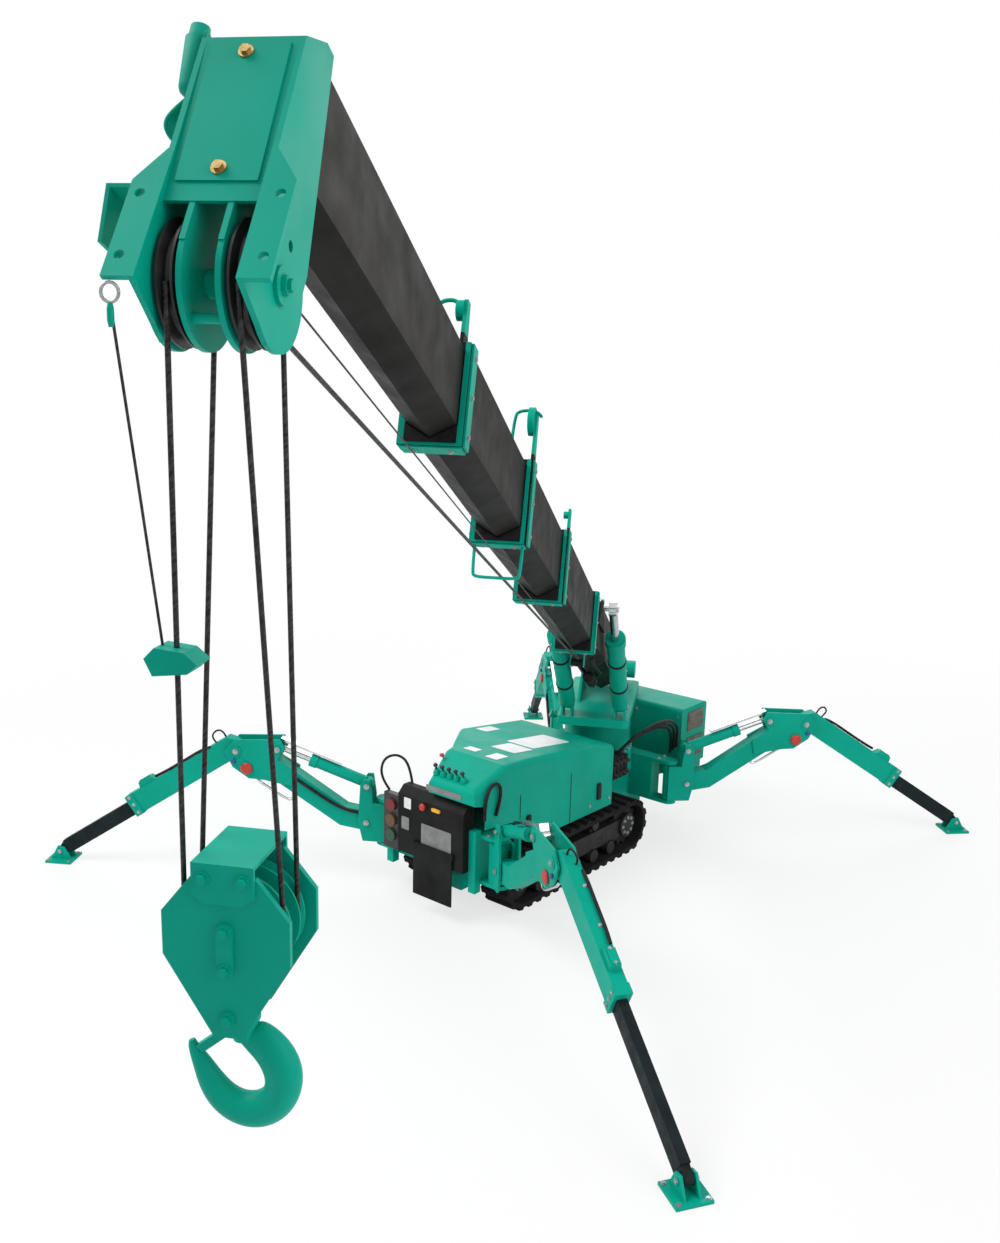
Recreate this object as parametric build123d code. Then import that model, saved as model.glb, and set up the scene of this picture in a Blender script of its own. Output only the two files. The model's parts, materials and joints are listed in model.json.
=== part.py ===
from build123d import *
import os
from math import asin, atan, atan2, cos, degrees, hypot, pi, radians, sin, sqrt

os.makedirs("parts", exist_ok=True)

# Sizes in millimetres. Origin: slew axis on the ground, +X to the console end, +Y left, +Z up.

# Pose of the photographed crane
BOOM_AZIMUTH = 29.0
BOOM_ELEVATION = 21.9
EXTENSION_2 = 1170
EXTENSION_REST = 810

# Gap left where one piece rests on, slides in or turns on another
SEAT = 0.3

# Undercarriage
TRACK_OUTER_Y = 375
TRACK_WIDTH = 180
TRACK_REAR_X = -20
TRACK_FRONT_X = 1325
TRACK_HEIGHT = 330
TRACK_BELT = 22
SHOE_HEIGHT = 14
SHOE_COUNT = 38
ROLLER_COUNT = 5
ROLLER_RADIUS = 38
SPROCKET_TEETH = 13
CHASSIS_HALF = 150
CHASSIS_LOW = 130
CHASSIS_TOP = 430
CHASSIS_WALL = 14

# Body work
HOOD_HALF = 345
HOOD_WALL = 8
HOOD_ROUND = 40
HOOD_REAR_X = 330
HOOD_FRONT_X = 1560
HOOD_REAR_Z = 722
HOOD_PEAK_X = 1310
HOOD_PEAK_Z = 842
HOOD_NOSE_Z = 765
HOOD_LOW_Z = 352
HOOD_SUPPORT_X = (520, 1170)
ENGINE_FRONT_X = -395
ENGINE_REAR_X = -690
ENGINE_HALF = 360
ENGINE_LOW = 380
ENGINE_TOP = 765
CONSOLE_FRONT_X = 1556

# Slewing upper
RING_RADIUS = 200
RING_Z = 566
PLATFORM_LOW = 785
PLATFORM_TOP = 835
PLATFORM_HALF = 210
PLATFORM_FRONT = 370
PLATFORM_REAR = -520
FOOT_BACK = 200
FOOT_Z = 977
FOOT_PIN = 22
FOOT_EYE = 62
CYLINDER_Y = 155
CYLINDER_BASE_X = 300
CYLINDER_BASE_Z = 900
BARREL_RADIUS = 48
BARREL_LENGTH = 810
ROD_RADIUS = 23
EYE_RADIUS = 38
LUFF_PIN = 16
WINCH_X = -425
WINCH_Z = 935
WINCH_HALF = 95
WINCH_RADIUS = 58

# Telescopic boom, measured along the boom from the foot pin
AXIS_OVER_PIN = 60
WALL = 3.5
SLIDE_GAP = 5
BASE_HEAD_T = 1770
COLLAR_PITCH = 130
COLLAR_LENGTH = 55
COLLAR_GROW = 7
PAD_LENGTH = 40
INNER_HALF = 58
INNER_TOP = 72
INNER_CORNER = 109
INNER_APEX = 142
SECTION_LENGTH = 1780
LUFF_PIN_T = 1478
LUFF_PIN_N = 142
GUIDE_RISE = {2: 85, 3: 150, 4: 110}
GUIDE_WHEEL = {2: 14, 3: 44, 4: 24}
GUIDE_INSET = {2: 0, 3: 0, 4: 26}

# Head, falls and hook block
HEAD_AXLE_OFFSET = 350
HEAD_AXLE_DROP = 305
HEAD_HALF = 74
HEAD_PLATE = 8
HEAD_REACH = 92
SHEAVE_PITCH_RADIUS = 76
SHEAVE_RADIUS = 84
SHEAVE_HALF = 12
HEAD_SHEAVE_Y = 48
CHEEK_RADIUS = 88
AXLE = 14
FLANGE_WIDTH = 36
ROPE_RADIUS = 4
BLOCK_DROP = 905
BLOCK_SHEAVE_X = 28
BLOCK_PLATE_X = 52
BLOCK_PLATE = 10
BLOCK_HALF = 97
BLOCK_COVER_HALF = 47
CROSSHEAD_DROP = 128
CROSSHEAD_RADIUS = 24
HOOK_SHANK = 17
HOOK_COLLAR = 8
HOOK_CENTRE_DROP = 255
WEIGHT_DROP = 500
WEIGHT_LENGTH = 78
WEIGHT_HEIGHT = 40

# Outriggers: r runs outward from the swivel pin, z up
FRONT_ROOT_X = 1426
REAR_ROOT_X = -190
ROOT_Y = 414
AZIMUTH = {"fl": 58.3, "fr": -56.8, "rl": 136.9, "rr": 223.1}
ARM_PIN = (95, 370)
LIFT_BASE = (92, 580)
LIFT_EYE = (592, 758)
KNEE = (826, 734)
FOOT_PIVOT_Z = 62
FOOT_REACH = {"fl": 2090, "fr": 1880, "rl": 1880, "rr": 1880}
ARM_DEPTH = 112
ARM_HALF = 40
SIDE_PLATE = 12
SLEEVE_LENGTH = 725
SLEEVE_HALF = 34
SLEEVE_LOW = -34
SLEEVE_TOP = 90
SLEEVE_WALL = 6
LEG_HALF = 22
LEG_DEPTH = 82
LEG_RISE = 15
LEG_LENGTH = 800
LIFT_BARREL_RADIUS = 32
LIFT_BARREL_LENGTH = 345
LIFT_ROD_RADIUS = 16
KNUCKLE_LOW = 262
KNUCKLE_TOP = 480
FOOT_HALF = 75
FOOT_PLATE_Z = 14


def save(name, *shapes):
    """Write one node as a STEP file."""
    solids = [s for shape in shapes for s in shape.solids()]
    export_step(Compound(solids), f"parts/{name}.step")


def block(x0, x1, y0, y1, z0, z1):
    """Box between two corners."""
    return Pos((x0 + x1) / 2, (y0 + y1) / 2, (z0 + z1) / 2) * Box(x1 - x0, y1 - y0, z1 - z0)


def plate(points, y0, y1):
    """Polygon in the X-Z plane, given thickness along Y."""
    face = make_face(Polyline(*[(x, y0, z) for x, z in points], close=True))
    return extrude(face, y1 - y0, dir=(0, 1, 0))


def panel(points, x0, x1):
    """Polygon in the Y-Z plane, given thickness along X."""
    face = make_face(Polyline(*[(x0, y, z) for y, z in points], close=True))
    return extrude(face, x1 - x0, dir=(1, 0, 0))


def slab(points, z0, z1):
    """Polygon in the X-Y plane, given thickness along Z."""
    face = make_face(Polyline(*[(x, y, z0) for x, y in points], close=True))
    return extrude(face, z1 - z0, dir=(0, 0, 1))


def disc_y(x, z, radius, y0, y1):
    """Cylinder along Y."""
    return Solid.make_cylinder(radius, y1 - y0, Plane((x, y0, z), z_dir=(0, 1, 0)))


def disc_x(y, z, radius, x0, x1):
    """Cylinder along X."""
    return Solid.make_cylinder(radius, x1 - x0, Plane((x0, y, z), z_dir=(1, 0, 0)))


def disc_z(x, y, radius, z0, z1):
    """Cylinder along Z."""
    return Solid.make_cylinder(radius, z1 - z0, Plane((x, y, z0), z_dir=(0, 0, 1)))


def bar(p, q, radius):
    """Round bar between two points."""
    start, end = Vector(*p), Vector(*q)
    return Solid.make_cylinder(radius, (end - start).length, Plane(start, z_dir=end - start))


def mirrored(shape):
    """The shape and its mirror image across the X-Z plane."""
    return [shape, mirror(shape, about=Plane.XZ)]


def sheave(half, bore):
    """Grooved wheel with its axis along Y."""
    rim = [(bore, -half), (SHEAVE_RADIUS, -half), (SHEAVE_RADIUS, -half * 0.7),
           (SHEAVE_PITCH_RADIUS - ROPE_RADIUS, -half * 0.25),
           (SHEAVE_PITCH_RADIUS - ROPE_RADIUS, half * 0.25),
           (SHEAVE_RADIUS, half * 0.7), (SHEAVE_RADIUS, half), (bore, half)]
    face = make_face(Polyline(*[(r, y, 0) for r, y in rim], close=True))
    return revolve(face, Axis.Y)


def on_boom(shape):
    """From boom axes (along, left, up, from the foot pin) to the part's frame."""
    return Rot(0, 0, BOOM_AZIMUTH) * Pos(-FOOT_BACK, 0, FOOT_Z) * Rot(0, -BOOM_ELEVATION, 0) * shape


def on_upper(shape):
    """From upper-structure axes to the part's frame."""
    return Rot(0, 0, BOOM_AZIMUTH) * shape


# Tracks: one closed loop each, with its shoes in the outline
TRACK_R = TRACK_HEIGHT / 2
TRACK_INNER_Y = TRACK_OUTER_Y - TRACK_WIDTH
TRACK_REAR_C = TRACK_REAR_X + TRACK_R
TRACK_FRONT_C = TRACK_FRONT_X - TRACK_R
TRACK_RUN = TRACK_FRONT_C - TRACK_REAR_C
TRACK_MIDDLE = (TRACK_INNER_Y + TRACK_OUTER_Y) / 2
WHEEL_RADIUS = TRACK_R - SHOE_HEIGHT - TRACK_BELT - SEAT


def loop_point(distance, radius):
    """Point on the track's outline, after a distance along the belt's pitch line."""
    pitch = TRACK_R - SHOE_HEIGHT
    half_turn = pi * pitch
    distance %= 2 * (TRACK_RUN + half_turn)
    if distance < TRACK_RUN:
        return TRACK_REAR_C + distance, TRACK_R - radius
    distance -= TRACK_RUN
    if distance < half_turn:
        turn = distance / pitch
        return TRACK_FRONT_C + radius * sin(turn), TRACK_R - radius * cos(turn)
    distance -= half_turn
    if distance < TRACK_RUN:
        return TRACK_FRONT_C - distance, TRACK_R + radius
    turn = (distance - TRACK_RUN) / pitch
    return TRACK_REAR_C - radius * sin(turn), TRACK_R + radius * cos(turn)


def track_loop():
    """Rubber track with raised shoes, hollow inside."""
    total = 2 * TRACK_RUN + 2 * pi * (TRACK_R - SHOE_HEIGHT)
    step = total / SHOE_COUNT
    outline = []
    for k in range(SHOE_COUNT):
        for share, radius in ((0.04, TRACK_R - SHOE_HEIGHT), (0.14, TRACK_R), (0.54, TRACK_R),
                              (0.64, TRACK_R - SHOE_HEIGHT)):
            outline.append(loop_point((k + share) * step, radius))
    belt = plate(outline, TRACK_INNER_Y, TRACK_OUTER_Y)
    inner = WHEEL_RADIUS + SEAT
    hollow = block(TRACK_REAR_C, TRACK_FRONT_C, TRACK_INNER_Y - 1, TRACK_OUTER_Y + 1,
                   TRACK_R - inner, TRACK_R + inner)
    for x in (TRACK_REAR_C, TRACK_FRONT_C):
        hollow += disc_y(x, TRACK_R, inner, TRACK_INNER_Y - 1, TRACK_OUTER_Y + 1)
    return belt - hollow


def sprocket(x, half):
    """Toothed drive wheel."""
    rim = []
    for k in range(SPROCKET_TEETH):
        for share, radius in ((0.1, 0.84), (0.35, 0.99), (0.65, 0.99), (0.9, 0.84)):
            turn = 2 * pi * (k + share) / SPROCKET_TEETH
            rim.append((x + WHEEL_RADIUS * radius * cos(turn), TRACK_R + WHEEL_RADIUS * radius * sin(turn)))
    return plate(rim, TRACK_MIDDLE - half, TRACK_MIDDLE + half)


def track_frame():
    """Side beam with sprocket, idler and rollers inside the loop."""
    hub_half = TRACK_WIDTH * 0.34
    beam = block(TRACK_REAR_C, TRACK_FRONT_C, TRACK_MIDDLE - TRACK_WIDTH / 4, TRACK_MIDDLE + TRACK_WIDTH / 4,
                 TRACK_R - 60, TRACK_R + 48)
    beam += block(TRACK_REAR_C + 150, TRACK_FRONT_C - 150, CHASSIS_HALF, TRACK_MIDDLE, TRACK_R - 30,
                  TRACK_R + 40)
    beam += sprocket(TRACK_REAR_C, 28)
    beam += disc_y(TRACK_FRONT_C, TRACK_R, WHEEL_RADIUS, TRACK_MIDDLE - 28, TRACK_MIDDLE + 28)
    for x in (TRACK_REAR_C, TRACK_FRONT_C):
        beam += disc_y(x, TRACK_R, WHEEL_RADIUS * 0.55, TRACK_MIDDLE - hub_half, TRACK_MIDDLE + hub_half)
    for k in range(ROLLER_COUNT):
        x = TRACK_REAR_C + TRACK_RUN * (k + 1) / (ROLLER_COUNT + 1)
        beam += disc_y(x, TRACK_R - WHEEL_RADIUS + ROLLER_RADIUS, ROLLER_RADIUS, TRACK_MIDDLE - hub_half,
                       TRACK_MIDDLE + hub_half)
    top_roller = ROLLER_RADIUS * 0.8
    for share in (0.33, 0.67):
        x = TRACK_REAR_C + TRACK_RUN * share
        beam += disc_y(x, TRACK_R + WHEEL_RADIUS - top_roller, top_roller, TRACK_MIDDLE - hub_half,
                       TRACK_MIDDLE + hub_half)
        beam += block(x - 14, x + 14, TRACK_MIDDLE - 30, TRACK_MIDDLE + 30, TRACK_R,
                      TRACK_R + WHEEL_RADIUS - top_roller)
    return beam


save("tracks", *mirrored(track_loop()))
save("track_frames", *mirrored(track_frame()))

# Carrier frame: chassis box, slew pedestal, cross beams with the outrigger lugs
BEAM_HALF_X = 45
LUG = 20
LUG_GAP = 6
SWIVEL_PIN = 20
LUG_RADIUS = 46
DECK = 60
POST = 45


def root_lugs(x):
    """Cross beam end with two lugs and the swivel pin of one outrigger."""
    low = KNUCKLE_LOW - LUG_GAP - LUG
    top = KNUCKLE_TOP + LUG_GAP + LUG
    side = block(x - BEAM_HALF_X, x + BEAM_HALF_X, 0, ROOT_Y - 100, low, top)
    for z in (low, top - LUG):
        side += block(x - LUG_RADIUS, x + LUG_RADIUS, ROOT_Y - 120, ROOT_Y, z, z + LUG)
        side += disc_z(x, ROOT_Y, LUG_RADIUS, z, z + LUG)
    return side + disc_z(x, ROOT_Y, SWIVEL_PIN, low, top)


frame = block(REAR_ROOT_X - 100, FRONT_ROOT_X, -CHASSIS_HALF, CHASSIS_HALF, CHASSIS_LOW, CHASSIS_TOP)
frame += block(ENGINE_REAR_X, ENGINE_FRONT_X, -ENGINE_HALF + 20, ENGINE_HALF - 20, ENGINE_LOW - DECK,
               ENGINE_LOW)
frame += block(ENGINE_REAR_X + DECK, REAR_ROOT_X, -CHASSIS_HALF, CHASSIS_HALF, ENGINE_LOW - 2 * DECK,
               ENGINE_LOW)
frame -= block(REAR_ROOT_X - 60, FRONT_ROOT_X - 60, -CHASSIS_HALF + CHASSIS_WALL, CHASSIS_HALF - CHASSIS_WALL,
               0, CHASSIS_TOP - CHASSIS_WALL)
frame += disc_z(0, 0, RING_RADIUS + 15, CHASSIS_TOP - CHASSIS_WALL, RING_Z - 6)
frame += disc_z(0, 0, RING_RADIUS - 15, CHASSIS_TOP - CHASSIS_WALL, RING_Z - SEAT)
frame -= disc_z(0, 0, RING_RADIUS - 60, CHASSIS_TOP + 10, RING_Z)
for support_x in HOOD_SUPPORT_X:
    frame += block(support_x - 20, support_x + 20, -HOOD_HALF + HOOD_WALL, HOOD_HALF - HOOD_WALL,
                   CHASSIS_TOP - 40, CHASSIS_TOP)
for root_x in (FRONT_ROOT_X, REAR_ROOT_X):
    for side in mirrored(root_lugs(root_x)):
        frame += side
POST_Y = ROOT_Y - 145
POST_FRONT = FRONT_ROOT_X + BEAM_HALF_X - 5 + POST
post = block(POST_FRONT - POST, POST_FRONT, POST_Y, POST_Y + POST, CHASSIS_LOW + 60, KNUCKLE_TOP + 50)
post += block(FRONT_ROOT_X, POST_FRONT, POST_Y, POST_Y + POST, KNUCKLE_LOW - 20, KNUCKLE_LOW + 30)
for side in mirrored(post):
    frame += side
save("carrier_frame", frame)

# Hood: rounded cover, open below, cut away at its right front corner, rising to the console end
HOOD_BREAK_X = 1100
HOOD_BREAK_Z = HOOD_PEAK_Z - 17
SKIRT_FRONT_Z = KNUCKLE_TOP + 60
CORNER_Y = 30
CORNER_X = 1230


def hood_shape(wall):
    """Outer hood shape, or the space inside a wall."""
    rear_x = HOOD_REAR_X + wall
    front_x = HOOD_FRONT_X - wall
    half = HOOD_HALF - wall
    top = [(rear_x, HOOD_REAR_Z - wall), (HOOD_BREAK_X, HOOD_BREAK_Z - wall),
           (HOOD_PEAK_X, HOOD_PEAK_Z - wall), (front_x, HOOD_NOSE_Z - wall)]
    if wall:
        skirt = [(front_x, HOOD_LOW_Z - 50), (rear_x, HOOD_LOW_Z - 50)]
    else:
        skirt = [(front_x, HOOD_NOSE_Z - 75), (front_x - 90, HOOD_NOSE_Z - 100),
                 (front_x - 90, SKIRT_FRONT_Z), (front_x - 320, SKIRT_FRONT_Z - 25),
                 (front_x - 550, HOOD_LOW_Z + 8), (rear_x, HOOD_LOW_Z)]
    plan = [(rear_x, -half), (rear_x, half), (front_x, half), (front_x, CORNER_Y + wall),
            (CORNER_X, CORNER_Y - 140 + wall), (900 - wall, -half)]
    shape = plate(top + skirt, -half, half) & slab(plan, HOOD_LOW_Z - 60, HOOD_PEAK_Z + 1)
    upper = [e for e in shape.edges() if e.center().Z > HOOD_REAR_Z - wall - 60 and abs((e % 0.5).Z) < 0.7]
    rim = [e for e in upper if min(v.Z for v in e.vertices()) > HOOD_REAR_Z - wall - 5]
    across = [e for e in rim if abs((e % 0.5).Y) > 0.99 and HOOD_BREAK_X - 1 < e.center().X < HOOD_PEAK_X + 1]
    return fillet([e for e in rim if e not in across], HOOD_ROUND - wall)


hood = hood_shape(0) - hood_shape(HOOD_WALL)
hood -= block(HOOD_REAR_X - 5, HOOD_REAR_X + 120, -CHASSIS_HALF - 5, CHASSIS_HALF + 5, HOOD_LOW_Z - 60,
              CHASSIS_TOP + SEAT)
save("hood", hood)

# Console: control box under the hood's nose, with its hung step plate and side box
BEAM_FRONT_X = FRONT_ROOT_X + BEAM_HALF_X
CONSOLE_RIGHT = -190
CONSOLE_TOP = HOOD_NOSE_Z - 100 - SEAT
console = block(BEAM_FRONT_X, CONSOLE_FRONT_X, CONSOLE_RIGHT, POST_Y - SEAT, KNUCKLE_LOW + 40, CONSOLE_TOP)
console = chamfer(console.edges().filter_by(Axis.Y).group_by(Axis.X)[-1].group_by(Axis.Z)[-1], 40)
console += block(CONSOLE_FRONT_X, CONSOLE_FRONT_X + 14, -70, 210, KNUCKLE_LOW + 100, KNUCKLE_LOW + 130)
console += block(CONSOLE_FRONT_X + 6, CONSOLE_FRONT_X + 14, -65, 203, 100, KNUCKLE_LOW + 130)
save("console", console)

# Levers on the falling front of the hood's top
NOSE_SLOPE = (HOOD_PEAK_Z - HOOD_NOSE_Z) / (HOOD_FRONT_X - HOOD_PEAK_X)
LEVER_X = HOOD_FRONT_X - 50
LEVER_Z = HOOD_PEAK_Z - NOSE_SLOPE * (LEVER_X - HOOD_PEAK_X)
LEVER_SPACING = 46
LEVER_LENGTH = 52
lever = Pos(0, 0, SEAT + 11) * Cone(18, 9, 22) + bar((0, 0, 20), (0, 0, LEVER_LENGTH), 5)
lever += Pos(0, 0, LEVER_LENGTH) * Sphere(12)
levers = []
for k in range(5):
    seat = Pos(LEVER_X, 45 + LEVER_SPACING * k, LEVER_Z) * Rot(0, degrees(atan(NOSE_SLOPE)), 0)
    levers.append(seat * lever)
save("levers", *levers)

# Status lamp: upright box with three lenses on its front, beside the console
LAMP_RIGHT = CONSOLE_RIGHT - 115
LAMP_LOW = KNUCKLE_LOW + 30
LAMP_TOP = LAMP_LOW + 310
LENS_RADIUS = 34
lamp = block(POST_FRONT + SEAT, CONSOLE_FRONT_X - 10, LAMP_RIGHT, CONSOLE_RIGHT - SEAT, LAMP_LOW, LAMP_TOP)
for k in range(3):
    z = LAMP_LOW + (k + 0.9) * (LAMP_TOP - LAMP_LOW) / 3.6
    lamp += disc_x(LAMP_RIGHT + 57, z, LENS_RADIUS, CONSOLE_FRONT_X - 10, CONSOLE_FRONT_X + 4)
save("status_lamp", lamp)

# Engine cover: transverse box, open below, with the engine block inside it
cover = block(ENGINE_REAR_X, ENGINE_FRONT_X, -ENGINE_HALF, ENGINE_HALF, ENGINE_LOW, ENGINE_TOP)
cover = fillet(cover.edges().filter_by(Axis.Y).group_by(Axis.Z)[-1], 25)
cover -= block(ENGINE_REAR_X + HOOD_WALL, ENGINE_FRONT_X - HOOD_WALL, -ENGINE_HALF + HOOD_WALL,
               ENGINE_HALF - HOOD_WALL, ENGINE_LOW - 1, ENGINE_TOP - HOOD_WALL)
save("engine_cover", cover)
engine = block(ENGINE_REAR_X + 40, ENGINE_FRONT_X - 40, -ENGINE_HALF + 60, ENGINE_HALF - 60,
               ENGINE_LOW, ENGINE_TOP - 60)
save("engine_block", engine)
ENGINE_HEIGHT = ENGINE_TOP - ENGINE_LOW
GRILLE = 6
LOUVRES = 6


def grille(low, high):
    """Framed louvre panel on the end of the engine cover, between two shares of its height."""
    x0, x1 = ENGINE_REAR_X + 40, ENGINE_FRONT_X - 70
    z0, z1 = ENGINE_LOW + ENGINE_HEIGHT * low, ENGINE_LOW + ENGINE_HEIGHT * high
    face = block(x0, x1, ENGINE_HALF, ENGINE_HALF + GRILLE, z0, z1)
    pitch = (z1 - z0) / LOUVRES
    for k in range(LOUVRES):
        z = z0 + pitch * (k + 0.5)
        blade = [(ENGINE_HALF, z + pitch / 4), (ENGINE_HALF + 2 * GRILLE, z - pitch / 4),
                 (ENGINE_HALF + GRILLE, z - pitch / 4), (ENGINE_HALF, z - pitch / 8)]
        face += panel(blade, x0 + 8, x1 - 8)
    return face


save("grilles", *mirrored(grille(0.6, 0.91)), *mirrored(grille(0.13, 0.47)))

# Turntable: slew drum, platform, boom-foot cheeks and cylinder lugs
BOOM_1_HALF = INNER_HALF + 4 * (WALL + SLIDE_GAP)
FOOT_PLATE = 14
CHEEK_Y0 = BOOM_1_HALF + FOOT_PLATE + 6
CHEEK = 16
EYE_HALF = 20
CLEVIS = 12
CLEVIS_GAP = 1
LUG_EYE = EYE_RADIUS - 4
turntable = disc_z(0, 0, RING_RADIUS, RING_Z, PLATFORM_LOW)
turntable -= disc_z(0, 0, RING_RADIUS - 30, RING_Z, PLATFORM_LOW)
deck = block(PLATFORM_REAR, PLATFORM_FRONT, -PLATFORM_HALF, PLATFORM_HALF, PLATFORM_LOW, PLATFORM_TOP)
turntable += fillet(deck.edges().filter_by(Axis.Z), 40)
cheek_outline = [(-FOOT_BACK - FOOT_EYE - 48, PLATFORM_TOP), (-FOOT_BACK - FOOT_EYE, FOOT_Z),
                 (-FOOT_BACK + FOOT_EYE, FOOT_Z), (60, PLATFORM_TOP)]
cheek = plate(cheek_outline, CHEEK_Y0, CHEEK_Y0 + CHEEK)
cheek += disc_y(-FOOT_BACK, FOOT_Z, FOOT_EYE, CHEEK_Y0, CHEEK_Y0 + CHEEK)
for y0 in (CYLINDER_Y - EYE_HALF - CLEVIS_GAP - CLEVIS, CYLINDER_Y + EYE_HALF + CLEVIS_GAP):
    lug_rear, lug_front = CYLINDER_BASE_X - LUG_EYE, CYLINDER_BASE_X + LUG_EYE
    cheek += plate([(lug_rear - 26, PLATFORM_TOP), (lug_rear, CYLINDER_BASE_Z), (lug_front, CYLINDER_BASE_Z),
                    (lug_front + 26, PLATFORM_TOP)], y0, y0 + CLEVIS)
    cheek += disc_y(CYLINDER_BASE_X, CYLINDER_BASE_Z, LUG_EYE, y0, y0 + CLEVIS)
cheek += disc_y(CYLINDER_BASE_X, CYLINDER_BASE_Z, LUFF_PIN, CYLINDER_Y - EYE_HALF - CLEVIS - 8,
                CYLINDER_Y + EYE_HALF + CLEVIS + 8)
for side in mirrored(cheek):
    turntable += side
turntable += disc_y(-FOOT_BACK, FOOT_Z, FOOT_PIN, -CHEEK_Y0 - CHEEK - 12, CHEEK_Y0 + CHEEK + 12)
WINCH_STAND = WINCH_HALF + 12
stand = plate([(WINCH_X - 80, PLATFORM_TOP), (WINCH_X - 40, WINCH_Z + 30), (WINCH_X + 40, WINCH_Z + 30),
               (WINCH_X + 80, PLATFORM_TOP)], WINCH_STAND, WINCH_STAND + 14)
for side in mirrored(stand):
    turntable += side
turntable += disc_y(WINCH_X, WINCH_Z, 20, -WINCH_STAND - 14, WINCH_STAND + 14)
turntable += disc_y(WINCH_X, WINCH_Z, 55, WINCH_STAND + 14, PLATFORM_HALF - 25)
save("turntable", on_upper(turntable))

winch = disc_y(WINCH_X, WINCH_Z, WINCH_RADIUS, -WINCH_HALF, WINCH_HALF)
for y0 in (-WINCH_HALF, WINCH_HALF - 8):
    winch += disc_y(WINCH_X, WINCH_Z, WINCH_RADIUS + 24, y0, y0 + 8)
winch -= disc_y(WINCH_X, WINCH_Z, 20 + SEAT, -WINCH_HALF - 1, WINCH_HALF + 1)
save("winch", on_upper(winch))

# Telescopic boom: five nested five-sided tubes, each with a frame round its head and a rope guide on it
V_SLOPE = (INNER_APEX - INNER_CORNER) / INNER_HALF


def section_sizes(grow):
    """Half width, apex, corner and top of the boom's profile, grown outward from the innermost one."""
    half = INNER_HALF + grow
    apex = AXIS_OVER_PIN - INNER_APEX - grow * sqrt(1 + V_SLOPE ** 2)
    return half, apex, apex + V_SLOPE * half, AXIS_OVER_PIN + INNER_TOP + grow


def section(grow, x0, x1):
    """Solid bar of the boom's five-sided profile."""
    half, apex, corner, top = section_sizes(grow)
    return panel([(-half, top), (-half, corner), (0, apex), (half, corner), (half, top)], x0, x1)


def head_t(k):
    """Where the head of section k stands in the photographed pose."""
    drawn_out = 0 if k == 1 else EXTENSION_2 + (k - 2) * EXTENSION_REST
    return BASE_HEAD_T + (k - 1) * COLLAR_PITCH + drawn_out


def rope_guide(k, x1, half, top):
    """Post and wheel standing on the left edge of a section's frame."""
    rise, wheel = GUIDE_RISE[k], GUIDE_WHEEL[k]
    half -= GUIDE_INSET[k]
    middle = x1 - COLLAR_LENGTH / 2
    foot_half = COLLAR_LENGTH / 2 - 3
    low = top - (0 if GUIDE_INSET[k] else 60)
    post_shape = plate([(middle - foot_half, low), (middle + foot_half, low), (middle + 14, top + rise),
                        (middle - 14, top + rise)], half - 4, half + 5)
    return post_shape + disc_y(middle, top + rise - 22, wheel, half - 22, half - 4)


def boom_tube(k):
    """Hollow section k with the frame at its head."""
    grow = (5 - k) * (WALL + SLIDE_GAP)
    half, apex, corner, top = section_sizes(grow)
    x1 = head_t(k)
    x0 = x1 - (SECTION_LENGTH if k > 1 else BASE_HEAD_T - 60)
    tube = section(grow, x0, x1)
    tube += block(x1 - COLLAR_LENGTH, x1, -half - COLLAR_GROW, half + COLLAR_GROW, apex - COLLAR_GROW,
                  top + COLLAR_GROW)
    tube -= section(grow - WALL, x0 - 1, x1 - PAD_LENGTH)
    tube -= section(grow - WALL - SLIDE_GAP + SEAT, x1 - PAD_LENGTH - 1, x1 + 1)
    if k in GUIDE_RISE:
        tube += rope_guide(k, x1, half + COLLAR_GROW, top + COLLAR_GROW)
    return tube


boom_1 = boom_tube(1)
for y0 in (-BOOM_1_HALF - FOOT_PLATE, BOOM_1_HALF):
    lug = plate([(0, -FOOT_EYE), (360, -20), (460, 110), (360, 150), (0, FOOT_EYE)], y0, y0 + FOOT_PLATE)
    boom_1 += lug + disc_y(0, 0, FOOT_EYE, y0, y0 + FOOT_PLATE)
BRACKET = 14
ear = plate([(LUFF_PIN_T - 170, 40), (LUFF_PIN_T + 170, 40), (LUFF_PIN_T + 40, LUFF_PIN_N + 24),
             (LUFF_PIN_T - 40, LUFF_PIN_N + 24)], BOOM_1_HALF, BOOM_1_HALF + BRACKET)
ear += disc_y(LUFF_PIN_T, LUFF_PIN_N, EYE_RADIUS + 6, BOOM_1_HALF, BOOM_1_HALF + BRACKET)
for side in mirrored(ear):
    boom_1 += side
boom_1 -= disc_y(0, 0, FOOT_PIN + SEAT, -BOOM_1_HALF - FOOT_PLATE - 1, BOOM_1_HALF + FOOT_PLATE + 1)
save("boom_1", on_boom(boom_1))
for k in range(2, 5):
    save(f"boom_{k}", on_boom(boom_tube(k)))

# Innermost section, and the head with its side plates, inner cheeks and folded flanges
AXLE_T = head_t(4) + EXTENSION_REST + HEAD_AXLE_OFFSET
AXLE_N = AXIS_OVER_PIN - HEAD_AXLE_DROP
HEAD_TOP = AXIS_OVER_PIN + INNER_TOP + 10
HEAD_INNER = HEAD_HALF - HEAD_PLATE
SOCKET = 30
FACE_TOP = (15, HEAD_TOP - 42)
FACE_LOW = (74, AXLE_N + 78)
FOLD_TOP = (58, AXLE_N + 170)
FOLD_LOW = (120, AXLE_N - 45)
tip_end = AXLE_T - HEAD_REACH + SOCKET
tip_start = tip_end - SECTION_LENGTH
boom_5 = section(0, tip_start, tip_end) - section(-WALL, tip_start - 1, tip_end + 1)
save("boom_5", on_boom(boom_5))


def head_plate(points, y0, y1):
    """Plate of the head, with its points given along the boom from the head axle."""
    return plate([(AXLE_T + t, n) for t, n in points], y0, y1)


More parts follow.
